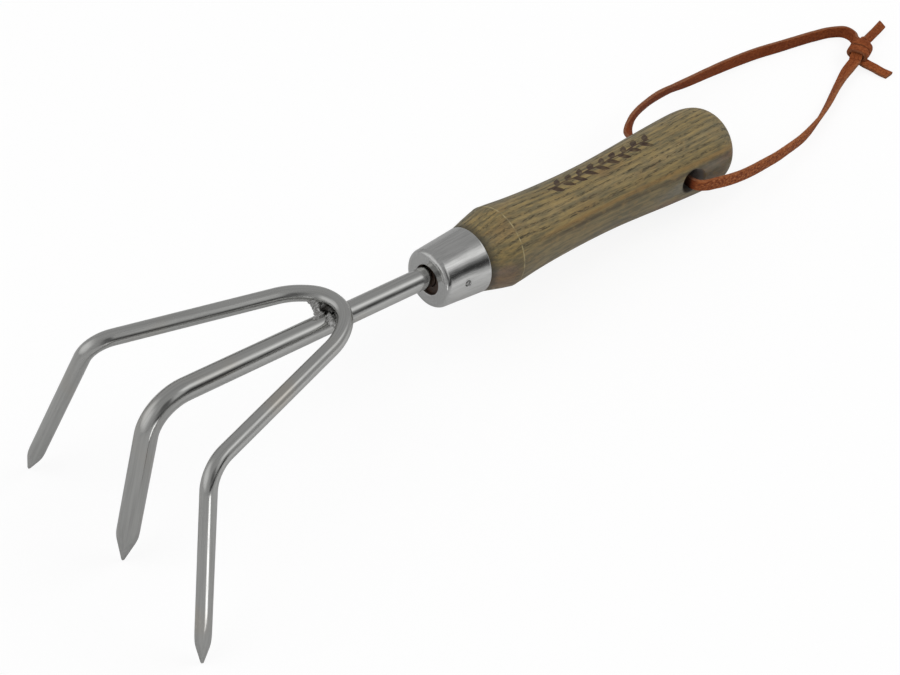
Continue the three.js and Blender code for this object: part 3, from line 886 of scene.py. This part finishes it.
def thong():
    made = {}
    # tone below 0 paints shade on the lace where it runs through the hole
    made["through"] = lace(
        "thong_in_hole", THROUGH_ROUTE, [(0, UPRIGHT), (1, UPRIGHT)], seed=0.3,
        tone=[(0, -1), (1, -1)])
    made["near"] = lace(
        "thong_near", NEAR_ROUTE,
        [(0, UPRIGHT), (0.04, (0, -0.1, 0.99)), (0.14, (0, 0.04, 1)), (0.33, (0, 0.02, 1)),
         (0.47, (0, -0.04, 1)), (0.55, (0, -0.05, 1)), (0.622, (0.04, -0.1, 0.98)),
         (0.693, (0.11, -0.3, 0.94)), (0.764, (0.15, -0.4, 0.9)), (0.833, (0.2, -0.48, 0.85)),
         (0.893, (0.25, -0.64, 0.72)), (0.948, (0.27, -0.85, 0.45)), (1, (0.32, -0.91, 0.27))],
        narrow=[(0, 1), (0.08, 1.02), (0.5, 1.05), (0.65, 1.02), (0.9, 1), (0.95, 1.06), (1, 1)],
        seed=1.1, tone=[(0, -1), (0.015, -0.9), (0.04, 0.9), (0.5, 0.95), (1, 0.6)],
        sag=[(0, 0.9), (0.018, 1.35), (0.04, 1.2), (0.075, 0.4), (0.11, 0)])
    made["far"] = lace(
        "thong_far", FAR_ROUTE,
        [(0, UPRIGHT), (0.024, (-0.2, 0.2, 0.95)), (0.058, (-0.62, 0.35, 0.7)),
         (0.1, (-0.26, 0.12, 0.96)), (0.151, (0, -0.08, 1)), (0.208, (0.1, -0.16, 0.98)),
         (0.272, (0, -0.18, 0.98)), (0.338, (0, -0.28, 0.96)), (0.404, (0, -0.06, 1)),
         (0.54, (0, 0.12, 0.99)), (0.68, (0, 0.16, 0.99)), (0.78, (0, 0.08, 1)),
         (0.908, (0.04, 0.08, 1)), (0.949, (0.3, 0, 0.9)), (0.979, (0.5, -0.06, 0.75)),
         (1, (0.3, -0.1, 0.9))],
        narrow=[(0, 1), (0.1, 0.98), (0.35, 0.96), (0.5, 1), (0.62, 1.04), (0.7, 1.04), (0.8, 1),
                (0.95, 1), (1, 0.85)],
        seed=2.7, tone=[(0, -1), (0.02, -0.6), (0.04, 0.15), (0.5, 0.3), (1, 0.3)])
    return made


def millimetres(points):
    """A route given in millimetres, as a smooth line of points in metres."""
    return [tuple(c * MM for c in p) for p in smooth_line(points, 1.0)]


# ------------------------------------------------------------------ knot

KNOT_ALONG = Vector((0.927, 0.375, 0.02)).normalized()
KNOT_UP = Vector((0, 0, 1))
KNOT_ASIDE = KNOT_UP.cross(KNOT_ALONG).normalized()


def in_knot(a, p, q):
    return KNOT_AT + KNOT_ALONG * a + KNOT_ASIDE * p + KNOT_UP * q


def wrap(name, turns, seed):
    """A band wound round the knot's core: turns is [(angle, along, radius aside, radius up)]."""
    angles = [t[0] for t in turns]
    line, outs = [], []
    for angle in np.linspace(angles[0], angles[-1], 90):
        a, rp, rq = (between([(t[0], t[k]) for t in turns], angle) for k in (1, 2, 3))
        rad = math.radians(angle)
        bulge = (abs(math.cos(rad)) ** 2.6 + abs(math.sin(rad)) ** 2.6) ** (-1 / 2.6)
        line.append(tuple(in_knot(a, rp * math.cos(rad) * bulge, rq * math.sin(rad) * bulge)))
    across = tuple(KNOT_ALONG)
    return lace(name, line, [(0, across), (1, across)], width=WRAP_WIDTH, step=0.4, seed=seed)


def knot():
    parts = []
    # the core: the near strand runs straight through and comes out as the upper tail
    core = [tuple(in_knot(*c)) for c in ((-6.2, -0.2, -0.1), (-3.5, 0, 0.7), (0, 0.2, 0.9),
                                         (3.4, 0, 0.5), (6.2, 0, 0.1))]
    across = tuple(KNOT_ASIDE)
    parts.append(lace("core", core, [(0, across), (0.5, across), (1, (-0.1, 0.5, 0.8))], seed=4.2))
    # the far strand's end turns in under the wraps
    entry = [(245.6, 10.9, 4.2), tuple(in_knot(3.9, 2.3, 0.6)), tuple(in_knot(1.6, 1.4, -0.8)),
             tuple(in_knot(-1.5, 0.6, -1.4))]
    parts.append(lace("entry", entry, [(0, (0.3, -0.1, 0.9)), (1, (0, 0, 1))], width=4.2, seed=5.5))
    parts.append(wrap("wrap_upper", [
        (-70, 2.0, 3.2, 2.5), (0, 1.8, 3.8, 2.8), (90, 1.9, 3.9, 2.9), (180, 1.5, 4.0, 2.9),
        (250, 0.2, 3.8, 2.8), (300, -1.0, 3.4, 2.6)], 6.1))
    parts.append(wrap("wrap_lower", [
        (-50, -1.2, 3.2, 2.4), (20, -2.2, 3.9, 2.6), (90, -2.3, 3.8, 2.8), (150, -2.1, 3.8, 2.7),
        (205, -2.1, 3.7, 2.7), (245, -2.2, 3.5, 2.5)], 7.7))
    return joined("thong_knot_wraps", parts)


def tails():
    upper = lace(
        "tail_upper", UPPER_TAIL_ROUTE,
        [(0, (-0.1, 0.5, 0.8)), (0.35, (-0.15, 0.75, 0.55)), (1, (-0.2, 0.9, 0.35))],
        width=LACE_WIDTH * 0.76, cut=(0, 0.9), seed=8.8, tone=[(0, 0.3), (1, 0.45)])
    rooted = [tuple(in_knot(-2.4, -0.5, -1.7)), (239.8, -0.1, 2.2)] + LOWER_TAIL_ROUTE[1:]
    # the lower tail's root starts at tone 0, painted darker as shade where it comes out under the knot
    lower = lace(
        "tail_lower", rooted, [(0, (0.9, 0.3, 0.2)), (0.4, (0.96, 0.2, 0)), (1, (0.96, 0.2, 0))],
        width=LACE_WIDTH * 0.86, cut=(0, 1.2), seed=9.9, tone=[(0, 0.0), (0.25, 0.5), (1, 0.6)])
    return upper, lower


# ------------------------------------------------------------------ materials

class Wire:
    """A node's output. Its + - * and abs() add Math nodes."""

    def __init__(self, nodes, socket):
        self.nodes = nodes
        self.socket = socket

    def __add__(self, other):
        return self.nodes.maths("ADD", self, other)

    def __sub__(self, other):
        return self.nodes.maths("SUBTRACT", self, other)

    def __rsub__(self, other):
        return self.nodes.maths("SUBTRACT", other, self)

    def __mul__(self, other):
        return self.nodes.maths("MULTIPLY", self, other)

    def __abs__(self):
        return self.nodes.maths("ABSOLUTE", self)


class Nodes:
    """A small helper to write the node tree of a material or a world."""

    def __init__(self, owner):
        owner.use_nodes = True
        self.owner = owner
        self.tree = owner.node_tree

    def give(self, node, socket, value):
        """Sets a node's input to a number, a colour or a Wire."""
        target = node.inputs[socket]
        if isinstance(value, Wire):
            self.tree.links.new(value.socket, target)
        elif target.type == "RGBA":
            target.default_value = (*value, 1)
        else:
            target.default_value = value

    def add(self, kind, inputs=None, output=0, **settings):
        """A new node with these settings and {input: value}: its output as a Wire, if it has one."""
        node = self.tree.nodes.new(kind)
        for key, value in settings.items():
            setattr(node, key, value)
        for socket, value in (inputs or {}).items():
            self.give(node, socket, value)
        return Wire(self, node.outputs[output]) if node.outputs else None

    def attribute(self, name, output="Vector"):
        return self.add("ShaderNodeAttribute", output=output, attribute_name=name)

    def place(self, kind):
        return self.add("ShaderNodeTexCoord", output=kind)

    def noise(self, vector, scale, shift=(0, 0, 0), detail=2.0, roughness=0.5):
        """Noise from about 0.2 to 0.8, with scale lumps to the metre along each axis."""
        scaled = self.add("ShaderNodeMapping", {"Vector": vector, "Scale": scale, "Location": shift})
        return self.add("ShaderNodeTexNoise", {
            "Vector": scaled, "Scale": 1.0, "Detail": detail, "Roughness": roughness}, "Fac")

    def maths(self, operation, *values):
        return self.add("ShaderNodeMath", dict(enumerate(values)), operation=operation)

    def ramp(self, value, low, high, to_low=0.0, to_high=1.0):
        """Smoothly from to_low, where value is low or less, to to_high, where it is high or more."""
        return self.add("ShaderNodeMapRange", {
            "Value": value, "From Min": low, "From Max": high, "To Min": to_low, "To Max": to_high,
        }, "Result", interpolation_type="SMOOTHSTEP")

    def mixed(self, share, a, b):
        """Colour a where share is 0, and b where it is 1."""
        return self.add("ShaderNodeMix", {0: share, 6: a, 7: b}, 2, data_type="RGBA")

    def split(self, vector):
        first = self.add("ShaderNodeSeparateXYZ", {0: vector})
        return [Wire(self, socket) for socket in first.socket.node.outputs]

    def distance(self, place, to):
        return self.add("ShaderNodeVectorMath", {0: place, 1: to}, "Value", operation="DISTANCE")

    def bump(self, height, distance, strength):
        return self.add("ShaderNodeBump", {
            "Height": height, "Distance": distance, "Strength": strength})

    def shaded(self, **inputs):
        """Gives the material's shader its inputs, with _ for a space, and returns the material."""
        shader = next(n for n in self.tree.nodes if n.type == "BSDF_PRINCIPLED")
        for socket, value in inputs.items():
            self.give(shader, socket.replace("_", " "), value)
        return self.owner

    def ends(self, kind, others, camera):
        """Ends the tree: one shader for what the camera sees, and one for all other rays."""
        path = self.add("ShaderNodeLightPath", output="Is Camera Ray")
        self.add(kind, {0: self.add("ShaderNodeMixShader", {0: path, 1: others, 2: camera})})


def steel_look(name, colour, smooth, rough, streaks, tint=0.0, pitting=0.0):
    """Stainless steel drawn along its length: lengthwise scratches, mottled polish, faint heat tint."""
    n = Nodes(bpy.data.materials.new(name))
    lay = n.attribute("lay")
    fine = n.noise(lay, (90, 5200, 5200), detail=3, roughness=0.6)
    drawn = n.noise(lay, (35, 1500, 1500), shift=(3, 1, 0))
    cloud = n.noise(lay, (160, 260, 260), shift=(0, 4, 2), detail=3)
    dull = n.ramp(cloud, 0.35, 0.7, 0, 0.6) + n.ramp(fine, 0.45, 0.75, 0, 0.4)
    dark = tuple(c * 0.86 for c in colour)
    warm = (colour[0] * 1.02, colour[1] * 0.93, colour[2] * 0.82)
    base = n.mixed(n.ramp(drawn, 0.35, 0.75), colour, dark)
    if tint:
        hue = n.noise(lay, (45, 70, 70), shift=(9, 0, 0), detail=1)
        base = n.mixed(n.ramp(hue, 0.55, 0.78, 0, tint), base, warm)
    height = fine * streaks + drawn * (streaks * 2)
    if pitting:
        height += n.noise(lay, (2400, 3200, 3200), detail=1) * pitting
    return n.shaded(Base_Color=base, Metallic=1.0, Roughness=n.ramp(dull, 0.0, 1.0, smooth, rough),
                    Normal=n.bump(height, 0.00002, 0.5))


# where the weld's hollow is painted near black, as the shade in it
WELD_HOLLOW_SHADE_AT = (-45.3, 1.5, 5.2)


def weld_look():
    n = Nodes(bpy.data.materials.new("weld_steel_look"))
    lay = n.attribute("lay")
    lumps = n.noise(lay, (900, 1500, 900), detail=4, roughness=0.6)
    soot = n.noise(lay, (330, 330, 330), shift=(1, 2, 3))
    base = n.mixed(n.ramp(lumps, 0.35, 0.65), (0.40, 0.395, 0.385), (0.66, 0.66, 0.65))
    base = n.mixed(n.ramp(soot, 0.56, 0.74, 0, 0.45), base, (0.16, 0.145, 0.13))
    # painted shade: near black round the weld's hollow, where the bead meets the rod
    from_shaded_hollow = n.distance(lay, tuple(c * MM for c in WELD_HOLLOW_SHADE_AT))
    base = n.mixed(n.ramp(from_shaded_hollow, 0.001, 0.0026, 0.85, 0), base, (0.035, 0.03, 0.026))
    return n.shaded(Base_Color=base, Metallic=1.0, Roughness=n.ramp(lumps, 0.3, 0.7, 0.5, 0.28),
                    Normal=n.bump(lumps, 0.00009, 0.7))


GRAIN_FACING = 4 * DEG  # the growth rings lie flat to the wood's surface here, above its near side
RINGS_PER_METRE = 400
RING_BOW = 7.0

PALE = (0.420, 0.305, 0.120)
OLIVE = (0.225, 0.183, 0.090)
EARLY_WOOD = (0.135, 0.108, 0.056)
PORE_DARK = (0.052, 0.044, 0.028)
RUST = (0.300, 0.150, 0.055)
GREY_GREEN = (0.150, 0.152, 0.110)
GOLD_AT = 0.72  # angles above the near side, in radians
BAND_AT = 0.57


def wood_look():
    n = Nodes(bpy.data.materials.new("stained_ash_look"))
    place = n.place("Object")
    x, y, z = n.split(place)
    near = y * -1.0
    theta = n.maths("ARCTAN2", z, near)  # 0 at the near side, a quarter turn at the top
    # growth rings: nearly flat layers, so that their lines crowd where they cut the surface steeply
    wander = n.noise(place, (11, 42, 42))
    depth = near * math.cos(GRAIN_FACING) + z * math.sin(GRAIN_FACING)
    ring = (depth - z * z * RING_BOW) * RINGS_PER_METRE + wander * 1.5
    early = n.ramp(abs(n.maths("FRACT", ring) - 0.5), 0.2, 0.44)
    side_on = abs(n.maths("SINE", theta - GRAIN_FACING))
    crowded = n.ramp(side_on, 0.36, 0.66, 0.25, 1.0)
    # open pores: short dark dashes, crowded in each ring's early wood
    dashes = n.noise(place, (420, 2300, 2300), detail=1.5, roughness=0.45)
    longer = n.noise(place, (60, 900, 900), shift=(2, 7, 1))
    pores = n.ramp(dashes, 0.46, 0.64) * n.ramp(early, 0.1, 0.75, 0.14, 1.0) * crowded
    fibres = n.noise(place, (90, 3600, 3600), shift=(0, 3, 5))
    patch = n.noise(place, (34, 90, 90), shift=(4, 4, 0), roughness=0.6)
    green = n.noise(place, (42, 110, 110), shift=(1, 9, 6))
    base = n.mixed(n.ramp(longer, 0.34, 0.68), PALE, OLIVE)
    base = n.mixed(n.ramp(early, 0.2, 0.9, 0.0, 0.34), base, EARLY_WOOD)
    base = n.mixed(n.ramp(patch, 0.56, 0.78, 0, 0.45), base, RUST)
    base = n.mixed(n.ramp(green, 0.5, 0.76, 0, 0.5), base, GREY_GREEN)
    # a golden streak along the near side with a dark band under it, and painted shade: darker, greyer
    # wood low on the near side
    strayed = theta + wander * 0.24
    low = n.ramp(strayed, 0.50, 0.72, 1, 0)
    along = n.ramp(x, 0.034, 0.060)
    gold = n.ramp(abs(strayed - GOLD_AT), 0.02, 0.085, 1, 0) * along
    band = n.ramp(abs(strayed - BAND_AT), 0.02, 0.085, 1, 0) * along
    # painted shade: the lower near side darkened and greyed
    base = n.mixed(low * 0.42, base, (0.165, 0.145, 0.092))
    base = n.mixed(gold * 0.55, base, (0.40, 0.225, 0.07))
    base = n.mixed(band * 0.6, base, (0.082, 0.062, 0.038))
    # chalky and reddish blotches low down at both ends, and painted shade: darker, greener wood round
    # the back
    blotch = (n.ramp(x, 0.028, 0.036, 1, 0) + n.ramp(x, 0.100, 0.120)) * low
    base = n.mixed(blotch * n.ramp(green, 0.45, 0.62, 0, 0.55), base, (0.27, 0.26, 0.215))
    base = n.mixed(blotch * n.ramp(patch, 0.42, 0.6, 0, 0.5), base, (0.26, 0.13, 0.075))
    # painted shade: darker, greener wood round the back
    base = n.mixed(n.ramp(theta, 1.95, 2.45, 0, 0.5), base, (0.095, 0.105, 0.075))
    base = n.mixed(n.ramp(fibres, 0.42, 0.72, 0, 0.34), base, PORE_DARK)
    mottle = n.noise(place, (260, 520, 520), shift=(6, 1, 2), detail=3, roughness=0.6)
    base = n.mixed(n.ramp(mottle, 0.5, 0.72, 0, 0.4), base, (0.400, 0.260, 0.095))
    base = n.mixed(n.ramp(mottle, 0.5, 0.3, 0, 0.35), base, (0.110, 0.098, 0.062))
    base = n.mixed(pores * n.ramp(green, 0.36, 0.62, 0.8, 0.5), base, PORE_DARK)
    # the crest's bright scribed line, broken here and there
    broken = n.noise(place, (300, 420, 420), detail=1)
    crest = n.ramp(abs(x - CREST_X * MM), 0.0001, 0.00036, 1, 0)
    crest = crest * n.ramp(broken, 0.36, 0.56, 0.1, 0.85) * n.ramp(theta, -0.35, 0.15, 0.15, 1)
    base = n.mixed(crest, base, (0.52, 0.43, 0.22))
    # painted shade: dark against the ferrule's rear edge, and inside the thong's hole, near black on
    # its -X side and a lit grey on its +X side
    base = n.mixed(n.ramp(x, 0.0206, 0.0238, 0.7, 0), base, (0.055, 0.050, 0.036))
    dx = (x - HOLE_X * MM) * (1 / MOUTH_OVAL[0])
    dz = (z + MOUTH_WORN * MM) * math.cos(HOLE_ROLL) + y * math.sin(HOLE_ROLL)
    dz = dz * (1 / MOUTH_OVAL[1])
    hole = n.maths("SQRT", dx * dx + dz * dz)
    # painted shade and light on the hole's wall: near black towards the ferrule, a lit grey towards the
    # butt
    hole_wall_shade = n.mixed(n.ramp(dx, -0.003, 0.0035), (0.022, 0.017, 0.014), (0.20, 0.20, 0.19))
    base = n.mixed(n.ramp(hole, 0.0053, 0.0062, 0.9, 0), base, hole_wall_shade)
    # the end grain that shows through the ferrule's hole, its own dark colour deepened by painted shade
    # inside the ferrule
    end_grain_and_shade = n.mixed(n.ramp(fibres, 0.4, 0.6), (0.10, 0.050, 0.028), (0.03, 0.018, 0.012))
    base = n.mixed(n.ramp(x, 0.015, 0.019, 1, 0), base, end_grain_and_shade)
    scorch = n.ramp(n.attribute("burnt", "Fac"), 0.25, 0.8) * n.ramp(broken, 0.25, 0.6, 0.6, 0.92)
    base = n.mixed(scorch, base, (0.045, 0.020, 0.013))
    roughness = n.ramp(longer, 0.3, 0.7, 0.38, 0.5) + pores * 0.2
    roughness += n.ramp(hole, 0.0053, 0.0062, 0.4, 0)
    height = fibres * 0.3 - pores + longer * 0.4
    return n.shaded(Base_Color=base, Roughness=roughness, Normal=n.bump(height, 0.00010, 0.6),
                    Specular_IOR_Level=0.45)


def leather_look():
    n = Nodes(bpy.data.materials.new("thong_leather_look"))
    lay = n.attribute("lay")
    edge = n.attribute("edge", "Fac")
    tone = n.attribute("tone", "Fac")
    grain = n.noise(lay, (2300, 2300, 2300), detail=3, roughness=0.65)
    speck = n.noise(lay, (820, 1100, 1100), shift=(5, 0, 2), roughness=0.6)
    cloud = n.noise(lay, (110, 300, 300), shift=(2, 8, 1))
    pull = n.noise(lay, (380, 2600, 2600))
    rich = n.mixed(tone, (0.255, 0.052, 0.012), (0.440, 0.128, 0.036))
    deep = n.mixed(tone, (0.120, 0.022, 0.006), (0.165, 0.034, 0.011))
    bright = n.mixed(tone, (0.360, 0.095, 0.028), (0.640, 0.250, 0.100))
    base = n.mixed(n.ramp(cloud, 0.4, 0.75, 0, 0.35), rich, deep)
    scuffed = n.ramp(tone, 0.55, 0.95, 0.55, 1)
    base = n.mixed(n.ramp(speck, 0.50, 0.62, 0, 0.85) * scuffed, base, deep)
    base = n.mixed(n.ramp(speck, 0.34, 0.46, 0.7, 0) * scuffed, base, bright)
    base = n.mixed(n.ramp(pull, 0.55, 0.75, 0, 0.3), base, deep)
    worn = n.ramp(edge, 0.35, 0.95) * n.ramp(speck, 0.3, 0.7, 0.75, 0.35)
    base = n.mixed(worn, base, n.mixed(tone, (0.30, 0.165, 0.10), (0.38, 0.14, 0.055)))
    # painted shade: near black where tone is below 0, on the lace inside the handle's hole
    base = n.mixed(n.ramp(tone, -0.9, 0.0, 0.9, 0), base, (0.03, 0.012, 0.006))
    height = grain + speck * 1.1
    return n.shaded(Base_Color=base, Roughness=n.ramp(grain, 0.3, 0.7, 0.6, 0.8),
                    Normal=n.bump(height, 0.00014, 0.75), Specular_IOR_Level=0.2)


def wear(obj, material):
    obj.data.materials.clear()
    obj.data.materials.append(material)


# ------------------------------------------------------------------ floor and light

FLOOR_SIZE = 6.0
PAPER_SEEN = (0.17, 0.17, 0.17)  # the paper's own colour to the camera, under its glow
PAPER_GLOW = 0.875
PAPER_BOUNCE = (0.66, 0.66, 0.66)  # its colour to the light that it throws on the tool
BRIGHT_PAPER_AT = (0.08, -0.14, 0)
BRIGHT_PAPER_EDGE = (0.02, 0.19)  # how far from there its extra light starts to fade, and ends
BRIGHT_PAPER_LIGHT = 0.26
BACKDROP = (0.97, 0.97, 0.97)


def floor():
    mesh = bpy.data.meshes.new("floor")
    half = FLOOR_SIZE / 2
    mesh.from_pydata([(-half, -half, 0), (half, -half, 0), (half, half, 0), (-half, half, 0)],
                     [], [(0, 1, 2, 3)])
    plane = bpy.data.objects.new("floor", mesh)
    bpy.context.scene.collection.objects.link(plane)
    # pale paper: the picture is exposed for the tool, so the paper itself is lifted to white
    n = Nodes(bpy.data.materials.new("paper"))
    n.tree.nodes.clear()
    lit = n.add("ShaderNodeBsdfDiffuse", {"Color": PAPER_SEEN})
    glow = n.add("ShaderNodeEmission", {"Strength": PAPER_GLOW})
    seen = n.add("ShaderNodeAddShader", {0: lit, 1: glow})
    # a painted pool of light: the paper glows more beside the ferrule, standing in for the key light
    # falling straight on it
    pool = n.add("ShaderNodeMapRange", {
        "Value": n.distance(n.place("Object"), BRIGHT_PAPER_AT), "From Min": BRIGHT_PAPER_EDGE[0],
        "From Max": BRIGHT_PAPER_EDGE[1], "To Min": BRIGHT_PAPER_LIGHT, "To Max": 0}, "Result")
    bounce = n.add("ShaderNodeBsdfDiffuse", {"Color": PAPER_BOUNCE})
    extra = n.add("ShaderNodeEmission", {"Strength": pool})
    thrown = n.add("ShaderNodeAddShader", {0: bounce, 1: extra})
    n.ends("ShaderNodeOutputMaterial", thrown, seen)
    mesh.materials.append(n.owner)


# The studio: directions are azimuth from +X towards +Y, and elevation, in degrees. A light area adds
# its light to the room's, and a dark area takes away its share of it.
ROOM_LIGHT = 0.47
LIGHT_AREAS = (
    {"azimuth": (-62, 0), "elevation": (30, 52), "slant": 0.3, "soft": 10, "light": 0.76},
    {"azimuth": (-92, -60), "elevation": (28, 52), "slant": 0, "soft": 9, "light": 0.22},
    {"azimuth": (116, 196), "elevation": (2, 46), "slant": 0, "soft": 15, "light": 0.50},
)
DARK_AREAS = (
    {"azimuth": (-122, -46), "elevation": (-3, 19), "slant": -0.22, "soft": 8, "light": 0.88},
    {"azimuth": (-126, -92), "elevation": (16, 54), "slant": 0, "soft": 10, "light": 0.66},
)


def studio():
    n = Nodes(bpy.data.worlds.new("studio"))
    bpy.context.scene.world = n.owner
    n.tree.nodes.clear()
    x, y, z = n.split(n.place("Generated"))
    azimuth = n.maths("DEGREES", n.maths("ARCTAN2", y, x))
    elevation = n.maths("DEGREES", n.maths("ARCSINE", z))

    def window(area):
        """1 inside the area, 0 outside it, with soft edges."""
        low, high = area["azimuth"]
        bottom, top = area["elevation"]
        soft = area["soft"]
        aside = n.maths("WRAP", azimuth - (low + high) / 2, 180, -180)
        wide = n.ramp(abs(aside), (high - low) / 2 - soft, (high - low) / 2 + soft, 1, 0)
        height = elevation + aside * area["slant"]
        mask = wide * n.ramp(height, bottom - soft, bottom + soft)
        return mask * n.ramp(height, top - soft, top + soft, 1, 0)

    light = ROOM_LIGHT
    for area in DARK_AREAS:
        light = (1.0 - window(area) * area["light"]) * light
    for area in LIGHT_AREAS:
        light = light + window(area) * area["light"]
    room = n.add("ShaderNodeBackground", {"Strength": light})
    backdrop = n.add("ShaderNodeBackground", {"Color": BACKDROP})
    n.ends("ShaderNodeOutputWorld", room, backdrop)
    bpy.context.scene.view_settings.view_transform = "Standard"


def soft_lamp(name, at, aim, size, watts, mirrored_in_steel):
    data = bpy.data.lights.new(name, "AREA")
    data.shape = "DISK"
    data.size = size
    data.energy = watts
    lamp = bpy.data.objects.new(name, data)
    bpy.context.scene.collection.objects.link(lamp)
    back = (Vector(at) - Vector(aim)).normalized()
    lamp.matrix_world = Matrix.Translation(at) @ back.to_track_quat("Z", "Y").to_matrix().to_4x4()
    lamp.visible_camera = False
    lamp.visible_glossy = mirrored_in_steel
    return lamp


# ------------------------------------------------------------------ build

laces = thong()
knot_wraps = knot()
upper_tail, lower_tail = tails()
leather = leather_look()
for piece, node_name in (
        (laces["through"], "thong_through"), (laces["near"], "thong_near_strand"),
        (laces["far"], "thong_far_strand"), (knot_wraps, "thong_knot"),
        (upper_tail, "thong_upper_tail"), (lower_tail, "thong_lower_tail")):
    wear(piece, leather)
    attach(piece, "thong")
    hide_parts(node_name)

millimetres(NEAR_ROUTE)
millimetres(FAR_ROUTE)

bar = centre_bar()
rod = side_rod()
left_weld = weld("weld_left", LEFT_LUMPS, "weld_bead_left")
right_weld = weld("weld_right", RIGHT_LUMPS, "weld_bead_right")
cup = ferrule()
nail = brad()
grip = handle()

STEEL = (0.60, 0.60, 0.585)
wear(bar, steel_look("bar_steel_look", STEEL, 0.12, 0.26, 0.5, tint=0.4))
wear(rod, steel_look("rod_steel_look", STEEL, 0.14, 0.30, 0.6, tint=0.5))
wear(cup, steel_look("ferrule_steel_look", (0.64, 0.64, 0.63), 0.12, 0.2, 0.12))
wear(nail, steel_look("brad_steel_look", (0.42, 0.42, 0.41), 0.15, 0.3, 0.5, pitting=1.0))
for piece in (left_weld, right_weld):
    wear(piece, weld_look())
wear(grip, wood_look())

floor()
studio()
soft_lamp("key", (1.15, -0.55, 1.25), (0.05, 0, 0.02), 1.0, 6.0, False)
soft_lamp("fill", (-0.6, 0.3, 1.5), (0.05, 0, 0.02), 1.2, 4.0, False)
# a narrow card beside the right tine, which shows as a bright line down it
card = soft_lamp("card", (-0.152, -0.102, 0.024), (-0.134, -0.044, 0.036), 0.022, 0.0050, True)
card.data.shape = "RECTANGLE"
card.data.size_y = 0.05
card.visible_diffuse = False
